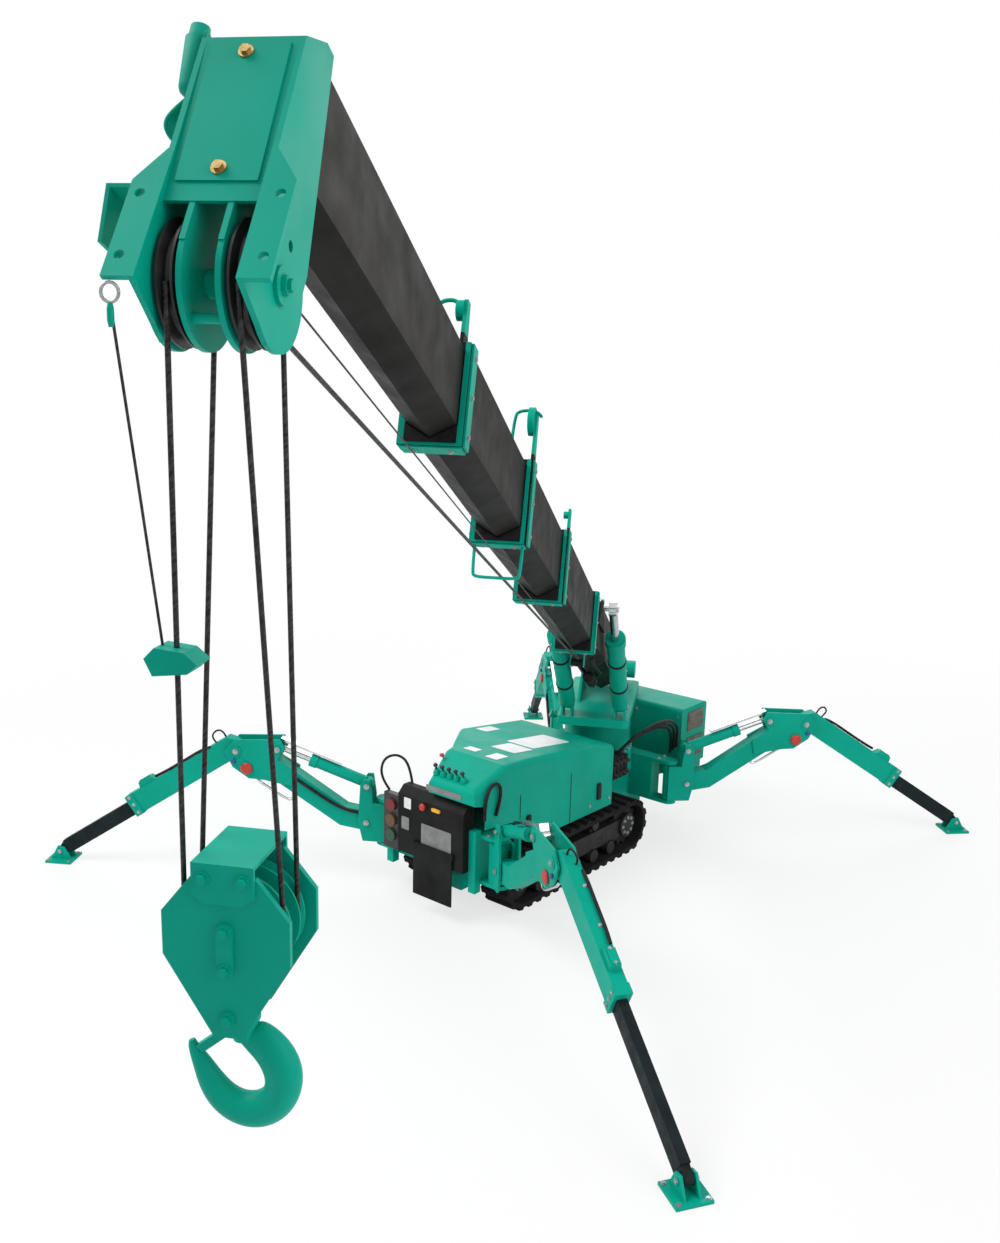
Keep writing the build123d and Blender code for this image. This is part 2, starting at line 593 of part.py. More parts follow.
def flange():
    """Plate folded outward along the front edge of the left side plate, with two holes."""
    edge = Vector(FOLD_LOW[0] - FOLD_TOP[0], 0, FOLD_LOW[1] - FOLD_TOP[1])
    start = Vector(AXLE_T + FOLD_TOP[0], HEAD_HALF - HEAD_PLATE, FOLD_TOP[1])
    corners = [(0, 0), (0.3, FLANGE_WIDTH + HEAD_PLATE), (1, FLANGE_WIDTH + HEAD_PLATE), (1, 0)]
    outline = [start + edge * share + Vector(0, out, 0) for share, out in corners]
    back = edge.cross(Vector(0, 1, 0)).normalized()
    if back.X > 0:
        back = -back
    sheet = extrude(make_face(Polyline(*outline, close=True)), HEAD_PLATE, dir=back)
    for share in (0.4, 0.85):
        centre = start + edge * share + Vector(0, HEAD_PLATE + FLANGE_WIDTH * 0.55, 0)
        sheet -= bar(centre - back * 2, centre + back * (HEAD_PLATE + 2), 7)
    return sheet


half, apex, corner, top = section_sizes(0)
socket = block(AXLE_T - HEAD_REACH, tip_end, -HEAD_INNER, HEAD_INNER, apex - 8, HEAD_TOP)
head = socket - section(SEAT, AXLE_T - HEAD_REACH - 1, tip_end + 1)
head += block(tip_end + SEAT, tip_end + SEAT + HEAD_PLATE, -HEAD_INNER, HEAD_INNER, apex - 8, HEAD_TOP - 6)
side_plate = head_plate([(-HEAD_REACH, HEAD_TOP), (-HEAD_REACH + SOCKET, HEAD_TOP), FACE_TOP, FOLD_TOP,
                         FOLD_LOW, (15, AXLE_N - CHEEK_RADIUS), (-60, AXLE_N - 55), (-HEAD_REACH, AXLE_N + 55)],
                        HEAD_INNER, HEAD_HALF)
side_plate += disc_y(AXLE_T, AXLE_N, CHEEK_RADIUS, HEAD_INNER, HEAD_HALF)
side_plate += disc_y(AXLE_T, AXLE_N, AXLE + 12, HEAD_HALF, HEAD_HALF + 6)
side_plate -= disc_y(AXLE_T - 20, AXLE_N + 64, 8, HEAD_INNER - 1, HEAD_HALF + 1)
side_plate += flange()
CHEEK_IN = HEAD_SHEAVE_Y - SHEAVE_HALF - 6
inner_cheek = head_plate([(-60, apex - 8), (52, apex - 8), (CHEEK_RADIUS, AXLE_N + 20),
                          (-CHEEK_RADIUS, AXLE_N + 20)], CHEEK_IN - HEAD_PLATE, CHEEK_IN)
inner_cheek += disc_y(AXLE_T, AXLE_N, CHEEK_RADIUS, CHEEK_IN - HEAD_PLATE, CHEEK_IN)
for shape in mirrored(side_plate) + mirrored(inner_cheek):
    head += shape
head += head_plate([(-HEAD_REACH + SOCKET, HEAD_TOP), FACE_TOP, (FACE_TOP[0], FACE_TOP[1] - 8),
                    (-HEAD_REACH + SOCKET, HEAD_TOP - 8)], -HEAD_INNER, HEAD_INNER)
head += head_plate([FACE_TOP, FACE_LOW, (FACE_LOW[0] - 8, FACE_LOW[1]), (FACE_TOP[0] - 8, FACE_TOP[1])],
                   -HEAD_INNER, HEAD_INNER)
lean = (FACE_LOW[0] - FACE_TOP[0]) / (FACE_TOP[1] - FACE_LOW[1])


def face_point(below, proud):
    """Point on the head's leaning front, some way below its top edge, or proud of it."""
    return FACE_TOP[0] + lean * below + proud, FACE_TOP[1] - below


sheet_reach = FACE_TOP[1] - FACE_LOW[1] - 30
head += head_plate([face_point(12, 0), face_point(sheet_reach, 0), face_point(sheet_reach, 3),
                    face_point(12, 3)], -HEAD_INNER + 10, HEAD_INNER - 10)
head += block(AXLE_T - HEAD_REACH, AXLE_T + 54, -HEAD_INNER, HEAD_INNER, apex - 16, apex - 8)
head += disc_y(AXLE_T, AXLE_N, AXLE, -HEAD_HALF - 10, HEAD_HALF + 10)
head += disc_y(AXLE_T, AXLE_N, AXLE + 5, -CHEEK_IN, CHEEK_IN)
head += disc_y(AXLE_T + 35, AXLE_N - 62, 7, -CHEEK_IN, CHEEK_IN)
GUARD_REACH = 120
guard_low = AXLE_N + 60
guard_top = guard_low + 85
guard_out = -HEAD_HALF - GUARD_REACH
guard = block(AXLE_T - 75, AXLE_T - 5, guard_out, guard_out + 6, guard_low, guard_top)
guard += block(AXLE_T - 75, AXLE_T - 5, guard_out, -HEAD_HALF, guard_top - 6, guard_top)
head += guard
save("boom_head", on_boom(head))

wheel = sheave(SHEAVE_HALF, AXLE + SEAT)
save("head_sheaves", *[on_boom(Pos(AXLE_T, s * HEAD_SHEAVE_Y, AXLE_N) * wheel) for s in (-1, 1)])

# Luff cylinders: barrels on the platform, rods to the boom
lift = on_boom(Pos(LUFF_PIN_T, 0, LUFF_PIN_N) * Sphere(1)).center()
pin_x = lift.X * cos(radians(BOOM_AZIMUTH)) + lift.Y * sin(radians(BOOM_AZIMUTH))
pin_z = lift.Z
luff_length = hypot(pin_x - CYLINDER_BASE_X, pin_z - CYLINDER_BASE_Z)
along_x = (pin_x - CYLINDER_BASE_X) / luff_length
along_z = (pin_z - CYLINDER_BASE_Z) / luff_length
ROD_START = 250


def luff_point(distance, y):
    """Point on a luff cylinder's axis, from its base pin."""
    return CYLINDER_BASE_X + along_x * distance, y, CYLINDER_BASE_Z + along_z * distance


barrels = []
rods = []
for s in (-1, 1):
    y = s * CYLINDER_Y
    tube = bar(luff_point(36, y), luff_point(BARREL_LENGTH, y), BARREL_RADIUS)
    tube += bar(luff_point(0, y), luff_point(40, y), EYE_HALF - 1)
    tube += bar(luff_point(BARREL_LENGTH - 60, y), luff_point(BARREL_LENGTH, y), BARREL_RADIUS + 7)
    tube += disc_y(CYLINDER_BASE_X, CYLINDER_BASE_Z, EYE_RADIUS - 6, y - EYE_HALF, y + EYE_HALF)
    tube -= disc_y(CYLINDER_BASE_X, CYLINDER_BASE_Z, LUFF_PIN + SEAT, y - EYE_HALF - 1, y + EYE_HALF + 1)
    tube -= bar(luff_point(50, y), luff_point(BARREL_LENGTH + 1, y), ROD_RADIUS + SEAT)
    barrels.append(on_upper(tube))
    rod = bar(luff_point(ROD_START, y), luff_point(luff_length - 20, y), ROD_RADIUS)
    rod += disc_y(pin_x, pin_z, EYE_RADIUS, y - EYE_HALF, y + EYE_HALF)
    pin_ends = sorted((s * (BOOM_1_HALF + BRACKET + SEAT), y + s * (EYE_HALF + 10)))
    rod += disc_y(pin_x, pin_z, LUFF_PIN, *pin_ends)
    rods.append(on_upper(rod))
save("luff_barrels", *barrels)
save("luff_rods", *rods)

# Falls, hook block and hook: upright axes with the origin on the head axle
axle = on_boom(Pos(AXLE_T, 0, AXLE_N) * Sphere(1)).center()


def on_plumb(shape):
    """From upright axes at the head axle to the part's frame."""
    return Pos(axle.X, axle.Y, axle.Z) * Rot(0, 0, BOOM_AZIMUTH) * shape


def on_block(shape):
    """From upright axes at the block's sheave axle to the part's frame."""
    return on_plumb(Pos(0, 0, -BLOCK_DROP) * shape)


FALL_OUT = SHEAVE_PITCH_RADIUS + 2 * SEAT


def fall_end(sx, sy, share):
    """Point on one of the four falls, from the head sheave to the block sheave."""
    x = sx * (FALL_OUT + (BLOCK_SHEAVE_X - FALL_OUT) * share)
    y = sy * (HEAD_SHEAVE_Y + (FALL_OUT - HEAD_SHEAVE_Y) * share)
    return x, y, -BLOCK_DROP * share


falls = [bar(fall_end(sx, sy, 0), fall_end(sx, sy, 1), ROPE_RADIUS) for sx in (-1, 1) for sy in (-1, 1)]
save("hoist_falls", *[on_plumb(fall) for fall in falls])

BLOCK_OUT = BLOCK_PLATE_X + BLOCK_PLATE
SHOULDER = 34
PLATE_TOP = SHOULDER + 62
PLATE_LOW = CROSSHEAD_DROP + 30
right_edge = [(22, -PLATE_LOW), (BLOCK_HALF, -SHOULDER), (BLOCK_HALF, SHOULDER), (BLOCK_COVER_HALF, PLATE_TOP)]
shield = right_edge + [(-y, z) for y, z in reversed(right_edge)]
half_block = panel(shield, BLOCK_PLATE_X, BLOCK_OUT)
flap_edge = [(BLOCK_COVER_HALF - 18, SHOULDER + 20), (BLOCK_COVER_HALF, SHOULDER + 34),
             (BLOCK_COVER_HALF, PLATE_TOP + 20)]
half_block += panel(flap_edge + [(-y, z) for y, z in reversed(flap_edge)], BLOCK_OUT, BLOCK_OUT + 6)
keeper = block(BLOCK_OUT, BLOCK_OUT + 8, -12, 12, -48, 12)
for z in (12, -48):
    keeper += disc_x(0, z, 12, BLOCK_OUT, BLOCK_OUT + 8)
half_block += keeper
half_block += disc_x(0, 0, AXLE, 0, BLOCK_OUT)
half_block += disc_x(0, -CROSSHEAD_DROP, CROSSHEAD_RADIUS, 0, BLOCK_PLATE_X)
half_block += disc_x(0, -CROSSHEAD_DROP, 12, BLOCK_PLATE_X, BLOCK_OUT + 4)
half_block += block(0, BLOCK_OUT + 6, -BLOCK_COVER_HALF, BLOCK_COVER_HALF, PLATE_TOP + 14, PLATE_TOP + 20)
block_body = half_block + mirror(half_block, about=Plane.YZ)
block_body -= disc_z(0, 0, HOOK_SHANK + SEAT, -CROSSHEAD_DROP - CROSSHEAD_RADIUS - 1,
                     -CROSSHEAD_DROP + CROSSHEAD_RADIUS + 1)
save("hook_block", on_block(block_body))

block_wheel = Rot(0, 0, 90) * wheel
save("block_sheaves", *[on_block(Pos(s * BLOCK_SHEAVE_X, 0, 0) * block_wheel) for s in (-1, 1)])

# Hook: forged round section that swells at the bowl and tapers to the tip, with its nut and latch.
# Each row gives the turn round the bowl's centre, the distance from it, and half the thickness.
HOOK_ROWS = [(83, 70, 21), (44, 62, 29), (-3, 61, 29), (-42, 62, 28), (-80, 61, 28), (-121, 58, 25),
             (-170, 62, 19), (-198, 83, 11), (-208, 97, 5)]
HOOK_FLAT = 0.85


def hook_point(turn, distance):
    """Point of the hook's centre line."""
    return Vector(0, distance * cos(radians(turn)), -HOOK_CENTRE_DROP + distance * sin(radians(turn)))


centres = [hook_point(turn, distance) for turn, distance, thick in HOOK_ROWS]
rings = []
for k, (turn, distance, thick) in enumerate(HOOK_ROWS):
    run = centres[min(k + 1, len(centres) - 1)] - centres[max(k - 1, 0)]
    rings.append(Plane(centres[k], x_dir=(1, 0, 0), z_dir=run) * Ellipse(thick * HOOK_FLAT, thick))
hook = loft(rings)
shank_low = centres[0].Z
shoulder_z = -CROSSHEAD_DROP - CROSSHEAD_RADIUS - SEAT
hook += bar((0, 4, shank_low - 6), (0, 0, shoulder_z - HOOK_COLLAR / 2), HOOK_SHANK + 4)
hook += disc_z(0, 0, HOOK_SHANK + 8, shoulder_z - HOOK_COLLAR, shoulder_z)
hook += disc_z(0, 0, HOOK_SHANK, shoulder_z - 1, -CROSSHEAD_DROP + CROSSHEAD_RADIUS + SEAT)
hook += disc_z(0, 0, HOOK_SHANK + 5, -CROSSHEAD_DROP + CROSSHEAD_RADIUS + SEAT, -SHEAVE_RADIUS - 6)
latch_top = (-12, shoulder_z - 12)
latch_tip = (centres[-1].Y + 16, centres[-1].Z - 8)
hook += panel([latch_top, (latch_top[0] + 6, latch_top[1] - 12), (latch_tip[0] + 4, latch_tip[1] - 8),
               (latch_tip[0] - 8, latch_tip[1])], -7, 7)
save("hook", on_block(hook))

# Over-hoist weight: threaded on the front right fall
weight_share = WEIGHT_DROP / BLOCK_DROP
end_0, end_1 = Vector(*fall_end(1, -1, 0)), Vector(*fall_end(1, -1, 1))
middle = end_0 + (end_1 - end_0) * weight_share
profile = [(-WEIGHT_LENGTH * 0.5, WEIGHT_HEIGHT * 0.1), (-WEIGHT_LENGTH * 0.3, WEIGHT_HEIGHT * 0.5),
           (WEIGHT_LENGTH * 0.25, WEIGHT_HEIGHT * 0.4), (WEIGHT_LENGTH * 0.5, 0),
           (WEIGHT_LENGTH * 0.3, -WEIGHT_HEIGHT * 0.35), (-WEIGHT_LENGTH * 0.35, -WEIGHT_HEIGHT * 0.5)]
weight = Pos(middle.X, middle.Y, middle.Z) * panel([(y, z) for y, z in profile], -22, 22)
weight -= bar(tuple(end_0), tuple(end_1), ROPE_RADIUS + SEAT)
save("overhoist_weight", on_plumb(weight))

# Outriggers: four alike, each with knuckle, arm, lift cylinder, leg sleeve, inner leg and foot
CORNERS = {
    "fl": (FRONT_ROOT_X, ROOT_Y),
    "fr": (FRONT_ROOT_X, -ROOT_Y),
    "rl": (REAR_ROOT_X, ROOT_Y),
    "rr": (REAR_ROOT_X, -ROOT_Y),
}
KNUCKLE_TUBE = 38
FORK_IN = ARM_HALF + 6
FORK_OUT = FORK_IN + SIDE_PLATE
PLATE_OUT = ARM_HALF + SIDE_PLATE
ARM_PIN_R = 18
EYE_LIFT_HALF = 22
KNEE_PIN = 18
PIN_BOSS = 6

knuckle = disc_z(0, 0, KNUCKLE_TUBE, KNUCKLE_LOW, KNUCKLE_TOP)
fork_outline = [(-20, KNUCKLE_LOW), (ARM_PIN[0] + 20, KNUCKLE_LOW), (ARM_PIN[0] + 46, ARM_PIN[1]),
                (LIFT_BASE[0] + 36, LIFT_BASE[1] + 10), (LIFT_BASE[0] + 16, LIFT_BASE[1] + 38),
                (LIFT_BASE[0] - 16, LIFT_BASE[1] + 38), (LIFT_BASE[0] - 32, KNUCKLE_TOP + LUG_GAP + LUG),
                (LIFT_BASE[0] - 32, KNUCKLE_TOP), (-20, KNUCKLE_TOP)]
for side in mirrored(plate(fork_outline, FORK_IN, FORK_OUT)):
    knuckle += side
for z in (KNUCKLE_LOW, KNUCKLE_TOP - 40):
    knuckle += block(-20, KNUCKLE_TUBE - 12, -FORK_OUT, FORK_OUT, z, z + 40)
knuckle += disc_y(*ARM_PIN, ARM_PIN_R, -FORK_OUT - PIN_BOSS, FORK_OUT + PIN_BOSS)
knuckle += disc_y(*LIFT_BASE, LIFT_ROD_RADIUS, -FORK_OUT - PIN_BOSS, FORK_OUT + PIN_BOSS)
knuckle -= disc_z(0, 0, SWIVEL_PIN + SEAT, KNUCKLE_LOW - 1, KNUCKLE_TOP + 1)

# Arm: bent box beam, with one large plate each side that carries the knee and the lift rod's eye
ELBOW = (230, ARM_PIN[1] + 22)
BEAM_END = (640, ELBOW[1] + 270)
half_depth = ARM_DEPTH / 2
rise = atan2(BEAM_END[1] - ELBOW[1], BEAM_END[0] - ELBOW[0])
off_x, off_z = half_depth * sin(rise), half_depth * cos(rise)
mid_x, mid_z = half_depth * sin(rise / 2), half_depth * cos(rise / 2)
beam_outline = [(ARM_PIN[0] - 10, ARM_PIN[1] - half_depth), (ELBOW[0] + mid_x, ELBOW[1] - mid_z),
                (BEAM_END[0] + off_x, BEAM_END[1] - off_z), (BEAM_END[0] - off_x, BEAM_END[1] + off_z),
                (ELBOW[0] - mid_x, ELBOW[1] + mid_z), (ARM_PIN[0] - 10, ARM_PIN[1] + half_depth)]
arm = plate(beam_outline, -ARM_HALF, ARM_HALF) + disc_y(*ARM_PIN, half_depth - 8, -ARM_HALF, ARM_HALF)
side_outline = [(BEAM_END[0] - 130, BEAM_END[1] - 112), (BEAM_END[0] + 30, BEAM_END[1] - 84),
                (KNEE[0] - 70, KNEE[1] - 152), (KNEE[0] + 20, KNEE[1] - 92), (KNEE[0] + 66, KNEE[1]),
                (KNEE[0] + 10, KNEE[1] + 66), (LIFT_EYE[0] + 56, LIFT_EYE[1] + 52),
                (LIFT_EYE[0] - 16, LIFT_EYE[1] + 56), (LIFT_EYE[0] - 40, LIFT_EYE[1] + 10),
                (LIFT_EYE[0], LIFT_EYE[1] - 60),
                (BEAM_END[0] - 150, BEAM_END[1] - 20)]
for side in mirrored(plate(side_outline, ARM_HALF, PLATE_OUT)):
    arm += side
arm += disc_y(*KNEE, KNEE_PIN, -PLATE_OUT - PIN_BOSS, PLATE_OUT + PIN_BOSS)
boss = disc_y(*KNEE, KNEE_PIN + 14, PLATE_OUT, PLATE_OUT + 4)
boss += disc_y(*LIFT_EYE, 22, PLATE_OUT, PLATE_OUT + PIN_BOSS)
for side in mirrored(boss):
    arm += side
arm -= disc_y(*ARM_PIN, ARM_PIN_R + SEAT, -ARM_HALF - 1, ARM_HALF + 1)

# Lift cylinder, with a guard bar over its rod
lift_length = hypot(LIFT_EYE[0] - LIFT_BASE[0], LIFT_EYE[1] - LIFT_BASE[1])
lift_x = (LIFT_EYE[0] - LIFT_BASE[0]) / lift_length
lift_z = (LIFT_EYE[1] - LIFT_BASE[1]) / lift_length
COLLAR = 5
GUARD_GAP = 8
GUARD = 14


def lift_point(distance, up=0):
    """Point on the lift cylinder's axis, from its base pin, or a height over it."""
    return LIFT_BASE[0] + lift_x * distance - lift_z * up, 0, LIFT_BASE[1] + lift_z * distance + lift_x * up


barrel = bar(lift_point(20), lift_point(LIFT_BARREL_LENGTH), LIFT_BARREL_RADIUS)
barrel_end = lift_point(LIFT_BARREL_LENGTH)
barrel += bar(lift_point(LIFT_BARREL_LENGTH - 40), barrel_end, LIFT_BARREL_RADIUS + COLLAR)
barrel += disc_y(*LIFT_BASE, LIFT_BARREL_RADIUS - 1, -EYE_LIFT_HALF, EYE_LIFT_HALF)
barrel -= disc_y(*LIFT_BASE, LIFT_ROD_RADIUS + SEAT, -LIFT_BARREL_RADIUS - 1, LIFT_BARREL_RADIUS + 1)
barrel -= bar(lift_point(60), lift_point(LIFT_BARREL_LENGTH + 1), LIFT_ROD_RADIUS + SEAT)
rod = bar(lift_point(200), lift_point(lift_length - 10), LIFT_ROD_RADIUS)
rod += disc_y(*LIFT_EYE, 26, -EYE_LIFT_HALF, EYE_LIFT_HALF)
rod += disc_y(*LIFT_EYE, 14, -ARM_HALF + SEAT, ARM_HALF - SEAT)
guard_low = LIFT_BARREL_RADIUS + COLLAR + GUARD_GAP
guard_start = LIFT_BARREL_LENGTH - 170
guard_ends = [lift_point(guard_start, guard_low), lift_point(lift_length - 30, guard_low),
              lift_point(lift_length - 22, 10), lift_point(lift_length + 12, 14),
              lift_point(lift_length + 6, guard_low + GUARD),
              lift_point(guard_start, guard_low + GUARD)]
rod += plate([(x, z) for x, y, z in guard_ends], -EYE_LIFT_HALF, EYE_LIFT_HALF)

# Leg: sleeve with a bevelled knee end and a latch box, inner leg, and foot
leg_low = LEG_RISE - LEG_DEPTH / 2
leg_top = LEG_RISE + LEG_DEPTH / 2
END_FRAME = 50
END_GROW = 6
sleeve = block(30, SLEEVE_LENGTH, -SLEEVE_HALF, SLEEVE_HALF, SLEEVE_LOW, SLEEVE_TOP)
sleeve += block(SLEEVE_LENGTH - END_FRAME, SLEEVE_LENGTH, -SLEEVE_HALF - END_GROW, SLEEVE_HALF + END_GROW,
                SLEEVE_LOW - END_GROW, SLEEVE_TOP)
sleeve -= block(80, SLEEVE_LENGTH - END_FRAME + 10, -SLEEVE_HALF + SLEEVE_WALL, SLEEVE_HALF - SLEEVE_WALL,
                SLEEVE_LOW + SLEEVE_WALL, SLEEVE_TOP - SLEEVE_WALL)
sleeve -= block(SLEEVE_LENGTH - END_FRAME + 9, SLEEVE_LENGTH + 1, -LEG_HALF - SEAT, LEG_HALF + SEAT,
                leg_low - SEAT, leg_top + SEAT)
sleeve += plate([(-50, -8), (-34, 42), (8, SLEEVE_TOP), (72, SLEEVE_TOP), (72, SLEEVE_LOW), (24, -52),
                 (-28, -46)], -SLEEVE_HALF, SLEEVE_HALF)
sleeve -= disc_y(0, 0, KNEE_PIN + SEAT, -SLEEVE_HALF - 1, SLEEVE_HALF + 1)
latch_box = plate([(SLEEVE_LENGTH - 215, SLEEVE_TOP), (SLEEVE_LENGTH - 195, SLEEVE_TOP + 32),
                   (SLEEVE_LENGTH - 115, SLEEVE_TOP + 32), (SLEEVE_LENGTH - 105, SLEEVE_TOP)], -24, 24)
sleeve += latch_box

LEG_EYE = 24
LEG_EYE_HALF = 20
FOOT_PIN_R = 12
leg_body = block(-LEG_LENGTH, -40, -LEG_HALF, LEG_HALF, leg_low, leg_top)
leg_body += plate([(-60, leg_low + 8), (-60, leg_top - 8), (0, LEG_RISE + LEG_EYE), (0, LEG_RISE - LEG_EYE)],
                  -LEG_EYE_HALF, LEG_EYE_HALF)
leg_body += disc_y(0, LEG_RISE, LEG_EYE, -LEG_EYE_HALF, LEG_EYE_HALF)
leg_body -= disc_y(0, LEG_RISE, FOOT_PIN_R + SEAT, -LEG_EYE_HALF - 1, LEG_EYE_HALF + 1)

foot = block(-FOOT_HALF, FOOT_HALF, -FOOT_HALF, FOOT_HALF, 0, FOOT_PLATE_Z)
foot_cheek = plate([(-62, FOOT_PLATE_Z), (-26, FOOT_PIVOT_Z + 22), (14, FOOT_PIVOT_Z + 30),
                    (30, FOOT_PIVOT_Z), (56, FOOT_PLATE_Z)], LEG_EYE_HALF + 6, LEG_EYE_HALF + 16)
for side in mirrored(foot_cheek):
    foot += side
foot += disc_y(0, FOOT_PIVOT_Z, FOOT_PIN_R, -LEG_EYE_HALF - 22, LEG_EYE_HALF + 22)


def leg_pose(reach):
    """Slope of the leg, and its length to the foot pivot, for a foot at this reach."""
    span = hypot(reach - KNEE[0], KNEE[1] - FOOT_PIVOT_Z)
    slope = atan2(KNEE[1] - FOOT_PIVOT_Z, reach - KNEE[0]) + asin(LEG_RISE / span)
    return degrees(slope), sqrt(span ** 2 - LEG_RISE ** 2)


for key, (x, y) in CORNERS.items():
    corner = Pos(x, y, 0) * Rot(0, 0, AZIMUTH[key])
    slope, length = leg_pose(FOOT_REACH[key])
    on_leg = corner * Pos(KNEE[0], 0, KNEE[1]) * Rot(0, slope, 0)
    save(f"knuckle_{key}", corner * knuckle)
    save(f"arm_{key}", corner * arm)
    save(f"lift_barrel_{key}", corner * barrel)
    save(f"lift_rod_{key}", corner * rod)
    save(f"leg_sleeve_{key}", on_leg * sleeve)
    save(f"inner_leg_{key}", on_leg * Pos(length, 0, 0) * leg_body)
    save(f"foot_{key}", corner * Pos(FOOT_REACH[key], 0, 0) * foot)
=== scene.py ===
import json
from math import cos, pi, radians, sin

import bmesh
import bpy
from mathutils import Matrix, Vector


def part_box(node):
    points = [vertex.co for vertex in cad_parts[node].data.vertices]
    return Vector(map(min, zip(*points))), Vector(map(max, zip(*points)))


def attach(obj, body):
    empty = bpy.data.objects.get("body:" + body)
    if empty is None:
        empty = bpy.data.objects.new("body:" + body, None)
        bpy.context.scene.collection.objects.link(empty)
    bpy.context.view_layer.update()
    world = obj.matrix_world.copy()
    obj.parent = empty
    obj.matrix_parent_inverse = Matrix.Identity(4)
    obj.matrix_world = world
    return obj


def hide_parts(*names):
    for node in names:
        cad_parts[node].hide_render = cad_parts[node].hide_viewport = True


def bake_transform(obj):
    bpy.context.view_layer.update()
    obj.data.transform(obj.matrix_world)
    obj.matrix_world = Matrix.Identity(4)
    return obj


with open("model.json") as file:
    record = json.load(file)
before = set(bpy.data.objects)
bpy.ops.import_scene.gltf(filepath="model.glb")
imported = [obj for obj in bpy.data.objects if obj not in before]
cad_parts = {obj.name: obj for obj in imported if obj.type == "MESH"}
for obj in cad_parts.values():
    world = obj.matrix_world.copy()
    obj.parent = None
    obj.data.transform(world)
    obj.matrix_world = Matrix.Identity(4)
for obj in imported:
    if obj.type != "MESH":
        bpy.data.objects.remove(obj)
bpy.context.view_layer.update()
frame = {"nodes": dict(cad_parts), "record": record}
scene = bpy.context.scene
scene.view_settings.view_transform = "Standard"

# Studio: a pale seamless floor, white all round, with three soft lamps.
# The floor glows for the camera alone, fully a few metres out, so that it reads white and keeps the shadow.
floor_half = 60
floor_drop = 0.002
glow_starts, glow_ends = 2.0, 6.5
near_glow, far_glow = 0.72, 1.0
floor_corners = [(x * floor_half, y * floor_half, 0) for x, y in ((-1, -1), (1, -1), (1, 1), (-1, 1))]
floor_mesh = bpy.data.meshes.new("studio_floor")
floor_mesh.from_pydata(floor_corners, [], [(0, 1, 2, 3)])
floor = bpy.data.objects.new("studio_floor", floor_mesh)
floor.location.z = -floor_drop
scene.collection.objects.link(floor)
paper = bpy.data.materials.new("studio_paper")
paper.use_nodes = True
links = paper.node_tree.links
nodes = paper.node_tree.nodes
matte = nodes["Principled BSDF"]
matte.inputs["Base Color"].default_value = (0.86, 0.86, 0.86, 1)
matte.inputs["Roughness"].default_value = 0.9
glow = nodes.new("ShaderNodeEmission")
rays = nodes.new("ShaderNodeLightPath")
place = nodes.new("ShaderNodeTexCoord")
reach = nodes.new("ShaderNodeVectorMath")
reach.operation = "LENGTH"
fade = nodes.new("ShaderNodeMapRange")
fade.interpolation_type = "SMOOTHSTEP"
fade.inputs["From Min"].default_value = glow_starts
fade.inputs["From Max"].default_value = glow_ends
fade.inputs["To Min"].default_value = near_glow
fade.inputs["To Max"].default_value = far_glow
share = nodes.new("ShaderNodeMath")
share.operation = "MULTIPLY"
both = nodes.new("ShaderNodeMixShader")
links.new(place.outputs["Object"], reach.inputs[0])
links.new(reach.outputs["Value"], fade.inputs["Value"])
links.new(fade.outputs["Result"], share.inputs[1])
links.new(rays.outputs["Is Camera Ray"], share.inputs[0])
links.new(share.outputs[0], both.inputs[0])
links.new(matte.outputs[0], both.inputs[1])
links.new(glow.outputs[0], both.inputs[2])
links.new(both.outputs[0], nodes["Material Output"].inputs["Surface"])
floor_mesh.materials.append(paper)

sky = bpy.data.worlds.new("studio_sky")
scene.world = sky
sky.use_nodes = True
nodes = sky.node_tree.nodes
links = sky.node_tree.links
soft = nodes["Background"]
soft.inputs["Color"].default_value = (0.95, 0.97, 1.0, 1)
soft.inputs["Strength"].default_value = 0.5
white = nodes.new("ShaderNodeBackground")
white.inputs["Color"].default_value = (1, 1, 1, 1)
rays = nodes.new("ShaderNodeLightPath")
seen = nodes.new("ShaderNodeMath")
seen.operation = "MAXIMUM"
either = nodes.new("ShaderNodeMath")
either.operation = "MAXIMUM"
both = nodes.new("ShaderNodeMixShader")
links.new(rays.outputs["Is Camera Ray"], seen.inputs[0])
links.new(rays.outputs["Is Transmission Ray"], seen.inputs[1])
links.new(seen.outputs[0], either.inputs[0])
links.new(rays.outputs["Is Glossy Ray"], either.inputs[1])
links.new(either.outputs[0], both.inputs[0])
links.new(soft.outputs[0], both.inputs[1])
links.new(white.outputs[0], both.inputs[2])
links.new(both.outputs[0], nodes["World Output"].inputs["Surface"])
lamp_aim = Vector((1.5, 0.6, 0.8))
lamps = (("key", (7.0, -3.0, 8.5), 5.0, 620),
         ("fill", (2.0, 8.0, 5.0), 6.0, 240),
         ("back", (-5.0, -3.0, 6.0), 5.0, 220))
for name, spot, size, power in lamps:
    lamp = bpy.data.lights.new(f"lamp_{name}", "AREA")
    lamp.size = size
    lamp.energy = power
    lamp_object = bpy.data.objects.new(f"lamp_{name}", lamp)
    lamp_object.location = spot
    lamp_object.rotation_euler = (lamp_aim - Vector(spot)).to_track_quat("-Z", "Y").to_euler()
    scene.collection.objects.link(lamp_object)

